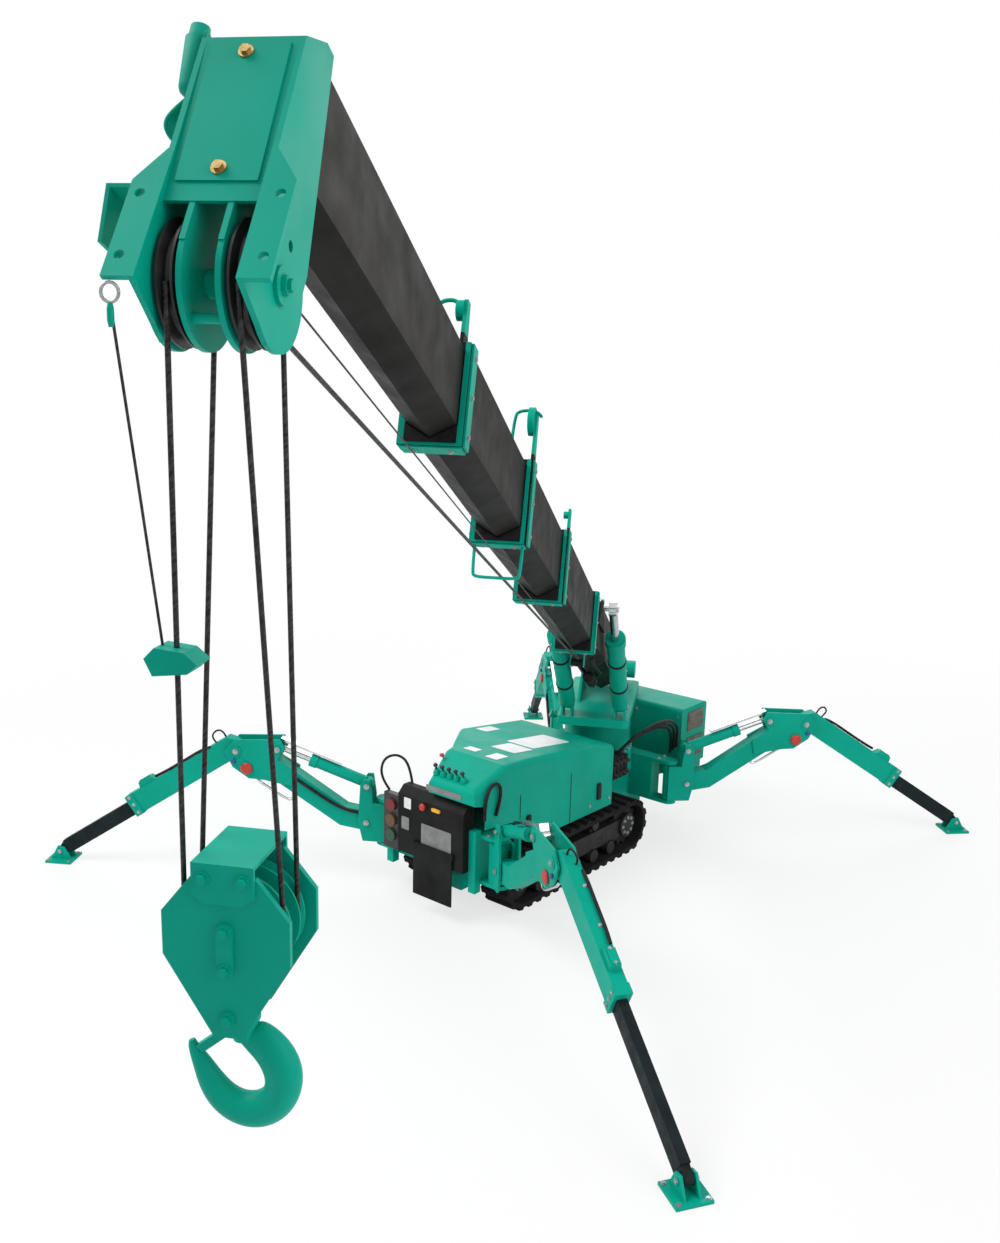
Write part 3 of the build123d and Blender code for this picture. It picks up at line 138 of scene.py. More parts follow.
# Camera: where the photographer stood, found from the feet, knees and boom head in the picture.
# Its three axes are the picture's right, its up and the way back to the photographer.
eye = bpy.data.cameras.new("photo_camera")
eye.lens = 35.06
eye.sensor_width = 36.0
eye.dof.use_dof = False
eye.clip_end = 300
camera = bpy.data.objects.new("photo_camera", eye)
camera_place = (5.901, 4.020, 2.966)
picture_right = (-0.636, 0.771, 0.025)
picture_up = (-0.158, -0.163, 0.974)
picture_back = (0.755, 0.616, 0.226)
turn = Matrix((picture_right, picture_up, picture_back)).transposed()
camera.matrix_world = Matrix.Translation(camera_place) @ turn.to_4x4()
scene.collection.objects.link(camera)
scene.camera = camera


# Tracks: moulded rubber belts with cast lugs, on steel side frames with sprocket, idler and rollers.
# Rubber is near black with dusty patches; the frames are dark cast iron, with a ring of bolts on each hub.
def finish(name, rough, metallic=0.0, sheen_level=0.5):
    """New procedural material; its colour, wear and grain are linked by the helpers below."""
    material = bpy.data.materials.new(name)
    material.use_nodes = True
    shader = material.node_tree.nodes["Principled BSDF"]
    shader.inputs["Roughness"].default_value = rough
    shader.inputs["Metallic"].default_value = metallic
    shader.inputs["Specular IOR Level"].default_value = sheen_level
    return material


def pattern(material, scale, detail=4.0, stretch=(1, 1, 1), turned=(0, 0, 0)):
    """Noise on Object coordinates, stretched along the axes of a piece that is turned so."""
    nodes, links = material.node_tree.nodes, material.node_tree.links
    place = nodes.new("ShaderNodeTexCoord")
    fit = nodes.new("ShaderNodeMapping")
    fit.vector_type = "TEXTURE"
    fit.inputs["Scale"].default_value = stretch
    fit.inputs["Rotation"].default_value = turned
    noise = nodes.new("ShaderNodeTexNoise")
    noise.inputs["Scale"].default_value = scale
    noise.inputs["Detail"].default_value = detail
    links.new(place.outputs["Object"], fit.inputs["Vector"])
    links.new(fit.outputs["Vector"], noise.inputs["Vector"])
    return noise.outputs["Fac"]


def grey(level):
    """Colour with the same red, green and blue."""
    return (level, level, level)


def mottle(material, scale, stops, **form):
    """Colour ramp over a noise of that scale, linked to the base colour."""
    nodes, links = material.node_tree.nodes, material.node_tree.links
    ramp = nodes.new("ShaderNodeValToRGB")
    while len(ramp.color_ramp.elements) < len(stops):
        ramp.color_ramp.elements.new(0.5)
    for element, (place, colour) in zip(ramp.color_ramp.elements, stops):
        element.position = place
        element.color = (*colour, 1)
    links.new(pattern(material, scale, **form), ramp.inputs["Fac"])
    links.new(ramp.outputs["Color"], nodes["Principled BSDF"].inputs["Base Color"])
    return ramp.outputs["Color"]


def wear(material, scale, low, high):
    """Roughness that varies between two values with a noise of that scale."""
    nodes, links = material.node_tree.nodes, material.node_tree.links
    spread = nodes.new("ShaderNodeMapRange")
    spread.inputs["From Min"].default_value = 0.3
    spread.inputs["From Max"].default_value = 0.7
    spread.inputs["To Min"].default_value = low
    spread.inputs["To Max"].default_value = high
    links.new(pattern(material, scale), spread.inputs["Value"])
    links.new(spread.outputs["Result"], nodes["Principled BSDF"].inputs["Roughness"])


def grain(material, scale, depth, strength, **form):
    """Fine bump from a noise of that scale."""
    nodes, links = material.node_tree.nodes, material.node_tree.links
    bump = nodes.new("ShaderNodeBump")
    bump.inputs["Distance"].default_value = depth
    bump.inputs["Strength"].default_value = strength
    links.new(pattern(material, scale, **form), bump.inputs["Height"])
    links.new(bump.outputs["Normal"], nodes["Principled BSDF"].inputs["Normal"])


def dress(material, *names):
    """Give CAD nodes a material."""
    for name in names:
        node = frame["nodes"][name]
        node.data.materials.clear()
        node.data.materials.append(material)


def add_piece(name, mesh, material, body):
    """Link a finished mesh as a piece that rides on a body, or on none."""
    mesh.materials.clear()
    mesh.materials.append(material)
    piece = bpy.data.objects.new(name, mesh)
    scene.collection.objects.link(piece)
    if body:
        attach(piece, body)
    return piece


def new_tree(name, inputs):
    """Empty Geometry Nodes tree with a geometry in and out, and the named inputs."""
    tree = bpy.data.node_groups.new(name, "GeometryNodeTree")
    tree.interface.new_socket(name="Geometry", in_out="INPUT", socket_type="NodeSocketGeometry")
    for label, kind in inputs.items():
        tree.interface.new_socket(name=label, in_out="INPUT", socket_type=f"NodeSocket{kind}")
    tree.interface.new_socket(name="Geometry", in_out="OUTPUT", socket_type="NodeSocketGeometry")
    return tree


def bolt_tree():
    """Hexagon bolt with a washer on every point, turned along the point's facing attribute."""
    tree = new_tree("hex_bolts", {"Head radius": "Float", "Head height": "Float", "Finish": "Material"})
    add, join = tree.nodes.new, tree.links.new
    given = add("NodeGroupInput")
    head = add("GeometryNodeMeshCylinder")
    head.inputs["Vertices"].default_value = 6
    washer = add("GeometryNodeMeshCylinder")
    washer.inputs["Vertices"].default_value = 16
    wide = add("ShaderNodeMath")
    wide.operation = "MULTIPLY"
    wide.inputs[1].default_value = 1.45
    thin = add("ShaderNodeMath")
    thin.operation = "MULTIPLY"
    thin.inputs[1].default_value = 0.5
    join(given.outputs["Head radius"], head.inputs["Radius"])
    join(given.outputs["Head height"], head.inputs["Depth"])
    join(given.outputs["Head radius"], wide.inputs[0])
    join(given.outputs["Head height"], thin.inputs[0])
    join(wide.outputs[0], washer.inputs["Radius"])
    join(thin.outputs[0], washer.inputs["Depth"])
    lifted = add("GeometryNodeTransform")
    height = add("ShaderNodeCombineXYZ")
    join(thin.outputs[0], height.inputs["Z"])
    join(head.outputs["Mesh"], lifted.inputs["Geometry"])
    join(height.outputs[0], lifted.inputs["Translation"])
    whole = add("GeometryNodeJoinGeometry")
    join(lifted.outputs[0], whole.inputs[0])
    join(washer.outputs["Mesh"], whole.inputs[0])
    facing = add("GeometryNodeInputNamedAttribute")
    facing.data_type = "FLOAT_VECTOR"
    facing.inputs["Name"].default_value = "facing"
    aim = add("FunctionNodeAlignRotationToVector")
    aim.axis = "Z"
    join(facing.outputs["Attribute"], aim.inputs["Vector"])
    spread = add("GeometryNodeInstanceOnPoints")
    join(given.outputs["Geometry"], spread.inputs["Points"])
    join(whole.outputs[0], spread.inputs["Instance"])
    join(aim.outputs[0], spread.inputs["Rotation"])
    solid = add("GeometryNodeRealizeInstances")
    paint = add("GeometryNodeSetMaterial")
    out = add("NodeGroupOutput")
    join(spread.outputs[0], solid.inputs[0])
    join(solid.outputs[0], paint.inputs["Geometry"])
    join(given.outputs["Finish"], paint.inputs["Material"])
    join(paint.outputs[0], out.inputs[0])
    return tree


bolts_on_points = bolt_tree()


def plain_mesh(holder):
    """Mesh of an object as its curve or modifiers shape it; the object itself goes."""
    scene.collection.objects.link(holder)
    bpy.context.view_layer.update()
    shape = holder.evaluated_get(bpy.context.evaluated_depsgraph_get())
    mesh = bpy.data.meshes.new_from_object(shape)
    bpy.data.objects.remove(holder)
    return mesh


def made_by(holder, tree, values):
    """Run a Geometry Nodes tree on an object and hand back the plain mesh."""
    maker = holder.modifiers.new("maker", "NODES")
    maker.node_group = tree
    for item in tree.interface.items_tree:
        if item.in_out == "INPUT" and item.name in values:
            maker[item.identifier] = values[item.name]
    return plain_mesh(holder)


def bolt_on(name, places, radius, height, material, body):
    """Bolts at (point, outward direction) pairs, as one piece."""
    points = bpy.data.meshes.new(name)
    points.from_pydata([tuple(point) for point, way in places], [], [])
    facing = points.attributes.new("facing", "FLOAT_VECTOR", "POINT")
    for k, (point, way) in enumerate(places):
        facing.data[k].vector = Vector(way)
    holder = bpy.data.objects.new(f"{name}_points", points)
    sizes = {"Head radius": radius, "Head height": height, "Finish": material}
    mesh = made_by(holder, bolts_on_points, sizes)
    return add_piece(name, mesh, material, body)


track_rubber = finish("track_rubber", 0.85, 0.0, 0.2)
mottle(track_rubber, 9.0, [(0.3, grey(0.003)), (0.75, (0.016, 0.015, 0.014))])
grain(track_rubber, 260.0, 0.0008, 0.5)
dress(track_rubber, "tracks")
dark_iron = finish("dark_iron", 0.6, 0.3)
mottle(dark_iron, 14.0, [(0.3, grey(0.007)), (0.8, (0.028, 0.026, 0.024))])
wear(dark_iron, 40.0, 0.45, 0.75)
grain(dark_iron, 320.0, 0.0006, 0.4)
dress(dark_iron, "track_frames", "engine_block")
zinc = finish("zinc_bolts", 0.35, 0.9)
mottle(zinc, 90.0, [(0.3, (0.32, 0.32, 0.33)), (0.7, grey(0.5))])
wear(zinc, 160.0, 0.28, 0.5)
hub_places = (0.145, 1.160)
hub_height = 0.165
hub_face = 0.3465
hub_circle = 0.048
bolts_per_hub = 8
hub_bolts = []
for side in (-1, 1):
    for hub_x in hub_places:
        for k in range(bolts_per_hub):
            around = 2 * pi * k / bolts_per_hub
            spot = (hub_x + hub_circle * cos(around), side * hub_face, hub_height + hub_circle * sin(around))
            hub_bolts.append((spot, (0, side, 0)))
bolt_on("track_hub_bolts", hub_bolts, 0.0075, 0.007, zinc, "carrier")

# Carrier frame: welded steel box with the slew pedestal and four pairs of outrigger lugs.
# Sprayed in the crane's teal gloss, a little lighter in places; two zinc bolts sit on each upper lug.
teal_paint = finish("teal_paint", 0.45, 0.0, 0.1)
teal = (0.0, 0.355, 0.25)
teal_stops = [(0.25, (0.0, 0.29, 0.20)), (0.55, teal), (0.85, (0.002, 0.40, 0.285))]
mottle(teal_paint, 2.2, teal_stops, detail=6.0)
wear(teal_paint, 7.0, 0.38, 0.56)
grain(teal_paint, 420.0, 0.0004, 0.12, detail=2.0)
dress(teal_paint, "carrier_frame")
lug_places = (1.426, -0.190)
lug_top = 0.5065
lug_bolt_y = 0.354
lug_bolts = []
for lug_x in lug_places:
    for side in (-1, 1):
        for shift in (-0.03, 0.03):
            lug_bolts.append(((lug_x + shift, side * lug_bolt_y, lug_top), (0, 0, 1)))
bolt_on("lug_bolts", lug_bolts, 0.009, 0.008, zinc, "carrier")

# Hood: pressed steel cover over tank and pump, in teal gloss, with panel seams and rubber latches.
# Its blank plates are white vinyl, stuck on the sloping top; a bent pipe stands at its front left.
dress(teal_paint, "hood")


def mesh_of(name, shape):
    """Plain mesh of a finished bmesh."""
    mesh = bpy.data.meshes.new(name)
    shape.to_mesh(mesh)
    shape.free()
    return mesh


def flat_plate(name, outline, origin, across, along, thick, material, body, bevel):
    """Thin plate from an outline in its own plane, with rounded edges."""
    across, along = Vector(across).normalized(), Vector(along).normalized()
    face_way = across.cross(along).normalized()
    shape = bmesh.new()
    rows = []
    for lift in (0.0, thick):
        base = Vector(origin) + face_way * lift
        rows.append([shape.verts.new(base + across * a + along * b) for a, b in outline])
    shape.faces.new(list(reversed(rows[0])))
    shape.faces.new(rows[1])
    count = len(outline)
    for k in range(count):
        shape.faces.new((rows[0][k], rows[0][(k + 1) % count], rows[1][(k + 1) % count], rows[1][k]))
    bmesh.ops.recalc_face_normals(shape, faces=shape.faces)
    if bevel:
        bmesh.ops.bevel(shape, geom=shape.edges, offset=bevel, segments=2, affect="EDGES")
    return add_piece(name, mesh_of(name, shape), material, body)


def rounded(width, height, radius, steps=4):
    """Rectangle outline with round corners, centred."""
    outline = []
    for cx, cy, start in ((1, 1, 0), (-1, 1, 90), (-1, -1, 180), (1, -1, 270)):
        for k in range(steps + 1):
            angle = radians(start + 90 * k / steps)
            outline.append((cx * (width / 2 - radius) + radius * cos(angle),
                            cy * (height / 2 - radius) + radius * sin(angle)))
    return outline


def tube(name, points, radius, material, body, smooth=True):
    """Round bar or pipe bent along a smooth line through given points, as a plain mesh."""
    path = bpy.data.curves.new(name, "CURVE")
    path.dimensions = "3D"
    spline = path.splines.new("NURBS" if smooth else "POLY")
    spline.points.add(len(points) - 1)
    for place, point in zip(spline.points, points):
        place.co = (*point, 1)
    if smooth:
        spline.order_u = 3
        spline.use_endpoint_u = True
        spline.resolution_u = 6
    path.bevel_depth = radius
    path.bevel_resolution = 3
    path.use_fill_caps = True
    mesh = plain_mesh(bpy.data.objects.new(f"{name}_path", path))
    for face in mesh.polygons:
        face.use_smooth = True
    return add_piece(name, mesh, material, body)


hose_rubber = finish("hose_rubber", 0.55, 0.0, 0.15)
mottle(hose_rubber, 30.0, [(0.3, grey(0.008)), (0.8, grey(0.028))])
grain(hose_rubber, 500.0, 0.0005, 0.4)
vinyl_white = finish("vinyl_white", 0.4)
mottle(vinyl_white, 12.0, [(0.2, (0.66, 0.68, 0.68)), (0.7, (0.82, 0.83, 0.83))])
wear(vinyl_white, 25.0, 0.3, 0.55)
rubber_black = finish("rubber_black", 0.65, 0.0, 0.15)
mottle(rubber_black, 22.0, [(0.3, grey(0.008)), (0.8, (0.032, 0.031, 0.03))])
grain(rubber_black, 300.0, 0.0005, 0.35)
rear_x, rear_z = 0.330, 0.722
crown_x, crown_z = 1.100, 0.825
nose_x, nose_z = 1.310, 0.842
rear_slope = (crown_z - rear_z) / (crown_x - rear_x)
crown_slope = (nose_z - crown_z) / (nose_x - crown_x)
seat_gap = 0.0004
hood_blanks = ((0.735, 0.105, 0.34, 0.19), (1.010, 0.135, 0.165, 0.165), (0.770, -0.235, 0.135, 0.080),
               (1.215, 0.030, 0.060, 0.085), (1.220, 0.200, 0.100, 0.080))
for k, (x, y, length, width) in enumerate(hood_blanks):
    if x < crown_x:
        slope, corner = rear_slope, 0.012
        z = rear_z + slope * (x - rear_x) + seat_gap
    else:
        slope, corner = crown_slope, 0.006
        z = crown_z + slope * (x - crown_x) + seat_gap
    flat_plate(f"hood_blank_{k + 1}", rounded(length, width, corner), (x, y, z), (1, 0, slope), (0, 1, 0),
               0.002, vinyl_white, "carrier", 0.0006)
for k, x in enumerate((0.47, 1.12)):
    flat_plate(f"hood_latch_{k + 1}", rounded(0.035, 0.10, 0.010), (x, 0.3456, 0.47), (-1, 0, 0), (0, 0, 1),
               0.012, rubber_black, "carrier", 0.003)
seam_top = 0.65
for k, (x, seam_low) in enumerate(((0.74, 0.362), (1.19, 0.50))):
    seam_height = seam_top - seam_low
    flat_plate(f"hood_seam_{k + 1}", rounded(0.005, seam_height, 0.002),
               (x, 0.3452, seam_low + seam_height / 2), (-1, 0, 0), (0, 0, 1), 0.0012, rubber_black,
               "carrier", 0.0)
hood_pipe = [(1.40, 0.353, 0.60), (1.36, 0.362, 0.72), (1.42, 0.366, 0.80), (1.50, 0.362, 0.74),
             (1.49, 0.353, 0.60)]
tube("hood_pipe", hood_pipe, 0.009, hose_rubber, "carrier")
hood_side = 0.3455
screw_height = 0.40
screws = []
for x in (0.36, 0.55, 0.92):
    for side in (1, -1):
        screws.append(((x, side * hood_side, screw_height), (0, side, 0)))
bolt_on("hood_screws", screws, 0.007, 0.005, zinc, "carrier")


# Valve bank: cast black spool sections bolted side by side to the left of the slew pedestal.
# Formed pipes lead from its top to the engine cover, below the slewing deck.
def add_rings(shape, profile, origin, axis, steps):
    """Add a closed skin over rings round an axis, given as (distance along, radius) pairs."""
    axis = Vector(axis).normalized()
    side = axis.orthogonal().normalized()
    other = axis.cross(side)
    rings = []
    for along, radius in profile:
        centre = Vector(origin) + axis * along
        ring = []
        for k in range(steps):
            angle = 2 * pi * k / steps
            ring.append(shape.verts.new(centre + (side * cos(angle) + other * sin(angle)) * radius))
        rings.append(ring)
    for low, high in zip(rings, rings[1:]):
        for k in range(steps):
            shape.faces.new((low[k], low[(k + 1) % steps], high[(k + 1) % steps], high[k]))
    shape.faces.new(list(reversed(rings[0])))
    shape.faces.new(rings[-1])
    bmesh.ops.recalc_face_normals(shape, faces=shape.faces)


def turned_part(name, profile, origin, axis, material, body, steps=24):
    """Part turned on a lathe."""
    shape = bmesh.new()
    add_rings(shape, profile, origin, axis, steps)
    mesh = mesh_of(name, shape)
    for face in mesh.polygons:
        face.use_smooth = len(face.vertices) == 4
    return add_piece(name, mesh, material, body)


first_valve_x = 0.09
valve_pitch = 0.04
valve_back, valve_front = 0.150, 0.2795
valve_middle = 0.515
valve_cap = [(0.0, 0.015), (0.006, 0.015), (0.008, 0.011), (0.020, 0.011), (0.024, 0.007)]
for k in range(4):
    x = first_valve_x + valve_pitch * k
    flat_plate(f"valve_section_{k + 1}", rounded(0.036, 0.135, 0.006), (x, valve_back, valve_middle),
               (-1, 0, 0), (0, 0, 1), 0.130, rubber_black, "carrier", 0.003)
    for level, z in (("high", 0.550), ("low", 0.480)):
        turned_part(f"valve_cap_{level}_{k + 1}", valve_cap, (x, valve_front, z), (0, 1, 0), dark_iron,
                    "carrier", 16)
rear_pipe = [(0.13, 0.24, 0.578), (0.11, 0.29, 0.66), (0.0, 0.35, 0.735), (-0.18, 0.37, 0.752),
             (-0.32, 0.37, 0.70), (-0.365, 0.355, 0.60), (-0.394, 0.330, 0.52)]
for k in range(3):
    shift = Vector((0.0, -0.022 * k, -0.024 * k))
    line = [Vector(point) + shift for point in rear_pipe]
    tube(f"rear_pipe_{k + 1}", line, 0.009, hose_rubber, "carrier")

# Console: black steel control box under the hood's nose, with a hung step plate.
# Lever boots are moulded in green; labels and plates are blank; one amber bar lamp and one push button.
black_paint = finish("black_paint", 0.5, 0.0, 0.1)
mottle(black_paint, 5.0, [(0.3, grey(0.006)), (0.8, grey(0.022))], detail=5.0)
wear(black_paint, 16.0, 0.42, 0.64)
grain(black_paint, 380.0, 0.0005, 0.25)
dress(black_paint, "console")
plate_grey = finish("plate_grey", 0.45, 0.2)
mottle(plate_grey, 18.0, [(0.3, (0.16, 0.165, 0.16)), (0.75, (0.27, 0.275, 0.27))])
wear(plate_grey, 60.0, 0.35, 0.6)
console_face = 1.5565
console_plates = (("console_plate_large", 0.085, 0.44, 0.21, 0.125, plate_grey),
                  ("console_plate_small", -0.135, 0.47, 0.055, 0.07, plate_grey),
                  ("console_plate_side", -0.12, 0.585, 0.05, 0.06, vinyl_white))
for name, y, z, width, height, material in console_plates:
    flat_plate(name, rounded(width, height, 0.006), (console_face, y, z), (0, 1, 0), (0, 0, 1), 0.003,
               material, "carrier", 0.0008)
flat_plate("lever_row_plate", rounded(0.24, 0.030, 0.004), (1.5605, 0.135, 0.715), (0, 1, 0), (0, 0, 1),
           0.003, plate_grey, "carrier", 0.0008)
amber = finish("amber_lens", 0.2)
mottle(amber, 60.0, [(0.3, (0.75, 0.36, 0.02)), (0.7, (0.85, 0.52, 0.05))])
flat_plate("amber_bar_lamp", rounded(0.06, 0.020, 0.008), (console_face, 0.085, 0.60), (0, 1, 0), (0, 0, 1),
           0.012, amber, "carrier", 0.003)
signal_red = finish("signal_red", 0.35)
mottle(signal_red, 25.0, [(0.3, (0.42, 0.02, 0.015)), (0.75, (0.62, 0.045, 0.03))])
wear(signal_red, 50.0, 0.3, 0.5)
button = [(0.0, 0.011), (0.010, 0.011), (0.010, 0.017), (0.016, 0.020), (0.024, 0.018), (0.028, 0.010)]
turned_part("stop_button", button, (console_face, 0.0, 0.60), (1, 0, 0), signal_red, "carrier")
lever_black = finish("lever_black", 0.3)
mottle(lever_black, 40.0, [(0.3, grey(0.006)), (0.8, grey(0.02))])
wear(lever_black, 70.0, 0.25, 0.42)
dress(lever_black, "levers")
shelf_out = (0.294, 0, 0.956)
first_lever_y = 0.045
lever_pitch = 0.046
boot = [(0.0, 0.021), (0.004, 0.022), (0.008, 0.019), (0.011, 0.020), (0.015, 0.016), (0.018, 0.017),
        (0.023, 0.012), (0.030, 0.010)]
for k in range(5):
    seat = (1.510, first_lever_y + lever_pitch * k, 0.7806)
    turned_part(f"lever_boot_{k + 1}", boot, seat, shelf_out, teal_paint, "carrier")
stem = [(1.40, -0.005, 0.81), (1.405, -0.010, 0.83), (1.41, -0.015, 0.842)]
tube("red_lever_stem", stem, 0.005, plate_grey, "carrier")
knob = [(0.0, 0.006), (0.003, 0.011), (0.010, 0.013), (0.016, 0.010), (0.019, 0.004)]
turned_part("red_lever_knob", knob, (1.41, -0.015, 0.832), (0.05, -0.1, 1), signal_red, "carrier")

# Status lamp: upright black box with three round lenses, red over amber over green, unlit.
# The colour follows the height of each lens; the case is the console's black, with a rubber guard loop.
lamp_case = finish("status_lamp", 0.3)
case_black = mottle(lamp_case, 20.0, [(0.0, grey(0.005)), (1.0, grey(0.03))])
nodes, links = lamp_case.node_tree.nodes, lamp_case.node_tree.links
place = nodes.new("ShaderNodeTexCoord")
axes = nodes.new("ShaderNodeSeparateXYZ")
band = nodes.new("ShaderNodeMapRange")
low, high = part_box("status_lamp")
lens_depth = 0.013
band.inputs["From Min"].default_value = low[2]
band.inputs["From Max"].default_value = high[2]
ramp = nodes.new("ShaderNodeValToRGB")
ramp.color_ramp.interpolation = "CONSTANT"
ramp.color_ramp.elements.new(0.66)
lens_stops = ((0.0, (0.01, 0.06, 0.03)), (0.39, (0.11, 0.05, 0.01)), (0.67, (0.15, 0.008, 0.008)))
for element, (at, colour) in zip(ramp.color_ramp.elements, lens_stops):
    element.position = at
    element.color = (*colour, 1)
proud = nodes.new("ShaderNodeMath")
proud.operation = "GREATER_THAN"
proud.inputs[1].default_value = high[0] - lens_depth
pick = nodes.new("ShaderNodeMix")
pick.data_type = "RGBA"
links.new(place.outputs["Object"], axes.inputs[0])
links.new(axes.outputs["Z"], band.inputs["Value"])
links.new(band.outputs["Result"], ramp.inputs["Fac"])
links.new(axes.outputs["X"], proud.inputs[0])
links.new(proud.outputs[0], pick.inputs[0])
links.new(case_black, pick.inputs["A"])
links.new(ramp.outputs["Color"], pick.inputs["B"])
links.new(pick.outputs["Result"], nodes["Principled BSDF"].inputs["Base Color"])
wear(lamp_case, 35.0, 0.18, 0.4)
dress(lamp_case, "status_lamp")
guard_loop = [(1.508, -0.30, 0.60), (1.52, -0.36, 0.66), (1.50, -0.36, 0.76), (1.47, -0.28, 0.80),
              (1.46, -0.20, 0.76), (1.47, -0.17, 0.66)]
tube("lamp_guard_loop", guard_loop, 0.007, rubber_black, "carrier")

# Engine cover: folded steel box across the tail, teal, with louvred grilles on its ends.
# Grilles are stamped in grey-brown sheet; two screwed doors show on the front.
dress(teal_paint, "engine_cover")
grille_grey = finish("grille_grey", 0.6, 0.1)
mottle(grille_grey, 20.0, [(0.3, (0.10, 0.09, 0.07)), (0.75, (0.22, 0.20, 0.165))])
grain(grille_grey, 240.0, 0.0006, 0.3)
dress(grille_grey, "grilles")
for k, y in enumerate((-0.18, 0.18)):
    flat_plate(f"engine_door_{k + 1}", rounded(0.32, 0.30, 0.020), (-0.3945, y, 0.575), (0, 1, 0), (0, 0, 1),
               0.004, teal_paint, "carrier", 0.0015)
door_face = -0.3905
cover_screws = []
for y in (-0.33, -0.03, 0.03, 0.33):
    for z in (0.44, 0.71):
        cover_screws.append(((door_face, y, z), (1, 0, 0)))
bolt_on("engine_door_screws", cover_screws, 0.007, 0.005, zinc, "carrier")

# Turntable: slewing deck with the boom-foot cheeks and the cylinder lugs, teal, bolted to its ring.
# The winch drum between its stands is black, wound full of steel rope.
joints = {joint["name"]: joint for joint in frame["record"]["behaviour"]["joints"]}
foot = Vector(joints["boom_luff"]["pos_m"])
out_way = Vector(joints["telescope_2"]["axis"]).normalized()
left_way = -Vector(joints["boom_luff"]["axis"]).normalized()
up_way = out_way.cross(left_way)
ahead = Vector((out_way.x, out_way.y, 0)).normalized()


def on_upper(u, v, z):
    """Point in the slewing deck's own axes: ahead, left and height."""
    return ahead * u + left_way * v + Vector((0, 0, z))


dress(teal_paint, "turntable")
dress(black_paint, "winch")
ring_circle = 0.207
ring_top_z = 0.5605
bolts_in_ring = 24
ring_bolts = []
for k in range(bolts_in_ring):
    around = 2 * pi * k / bolts_in_ring
    ring_bolts.append(((ring_circle * cos(around), ring_circle * sin(around), ring_top_z), (0, 0, 1)))
bolt_on("slew_ring_bolts", ring_bolts, 0.008, 0.005, zinc, "carrier")
deck_pins = ((-0.200, 0.1405, 0.977), (0.300, 0.195, 0.900), (-0.425, 0.1215, 0.985))
pin_bolts = []
for side in (-1, 1):
    for u, v, z in deck_pins:
        pin_bolts.append((on_upper(u, side * v, z), left_way * side))
bolt_on("deck_pin_bolts", pin_bolts, 0.011, 0.009, zinc, "upper")


def winding_tree():
    """Rope wound side by side on a drum, as one helix along Z."""
    tree = new_tree("rope_winding", {"Turns": "Float", "Drum radius": "Float", "Length": "Float",
                                     "Rope radius": "Float", "Finish": "Material"})
    add, join = tree.nodes.new, tree.links.new
    given = add("NodeGroupInput")
    helix = add("GeometryNodeCurveSpiral")
    helix.inputs["Resolution"].default_value = 40
    strand = add("GeometryNodeCurvePrimitiveCircle")
    strand.inputs["Resolution"].default_value = 8
    skin = add("GeometryNodeCurveToMesh")
    skin.inputs["Fill Caps"].default_value = True
    whole = add("GeometryNodeRealizeInstances")
    coat = add("GeometryNodeSetMaterial")
    out = add("NodeGroupOutput")
    join(given.outputs["Turns"], helix.inputs["Rotations"])
    join(given.outputs["Drum radius"], helix.inputs["Start Radius"])
    join(given.outputs["Drum radius"], helix.inputs["End Radius"])
    join(given.outputs["Length"], helix.inputs["Height"])
    join(given.outputs["Rope radius"], strand.inputs["Radius"])
    join(helix.outputs[0], skin.inputs["Curve"])
    join(strand.outputs[0], skin.inputs["Profile Curve"])
    join(skin.outputs[0], whole.inputs[0])
    join(whole.outputs[0], coat.inputs["Geometry"])
    join(given.outputs["Finish"], coat.inputs["Material"])
    join(coat.outputs[0], out.inputs[0])
    return tree


rope_wire = finish("rope_wire", 0.45, 0.5)
twist = {"detail": 2.0, "stretch": (1, 1, 0.25), "turned": (0.6, 0.5, 0)}
mottle(rope_wire, 60.0, [(0.35, grey(0.006)), (0.65, (0.045, 0.045, 0.043))], **twist)
grain(rope_wire, 60.0, 0.001, 0.6, **twist)
holder = bpy.data.objects.new("winch_rope_maker", bpy.data.meshes.new("winch_rope_maker"))
winding_sizes = {"Turns": 20.0, "Drum radius": 0.0625, "Length": 0.170, "Rope radius": 0.0042,
                 "Finish": rope_wire}
winding = made_by(holder, winding_tree(), winding_sizes)
drum_axes = Matrix((ahead, left_way.cross(ahead), left_way)).transposed().to_4x4()
winding.transform(Matrix.Translation(on_upper(-0.425, -0.085, 0.935)) @ drum_axes)
add_piece("winch_rope", winding, rope_wire, "winch")

# Boom sections: five folded tubes of charcoal steel, wiped with grease along their length.
# Rope guides that stand above the tubes, and the plates bolted round each section's end frame, are teal.
boom_paint = finish("boom_paint", 0.5, 0.0, 0.08)
boom_turn = Matrix((out_way, left_way, up_way)).transposed().to_euler()
charcoal_stops = [(0.3, (0.006, 0.006, 0.005)), (0.75, (0.024, 0.022, 0.020))]
charcoal = mottle(boom_paint, 9.0, charcoal_stops, detail=5.0, stretch=(16, 1, 1), turned=boom_turn)
nodes, links = boom_paint.node_tree.nodes, boom_paint.node_tree.links
guides_above = 0.175
place = nodes.new("ShaderNodeTexCoord")
height = nodes.new("ShaderNodeVectorMath")
height.operation = "DOT_PRODUCT"
height.inputs[1].default_value = up_way
links.new(place.outputs["Object"], height.inputs[0])
above = nodes.new("ShaderNodeMath")
above.operation = "GREATER_THAN"
above.inputs[1].default_value = foot.dot(up_way) + guides_above
links.new(height.outputs["Value"], above.inputs[0])
pick = nodes.new("ShaderNodeMix")
pick.data_type = "RGBA"
pick.inputs["B"].default_value = (*teal, 1)
links.new(above.outputs[0], pick.inputs[0])
links.new(charcoal, pick.inputs["A"])
links.new(pick.outputs["Result"], nodes["Principled BSDF"].inputs["Base Color"])
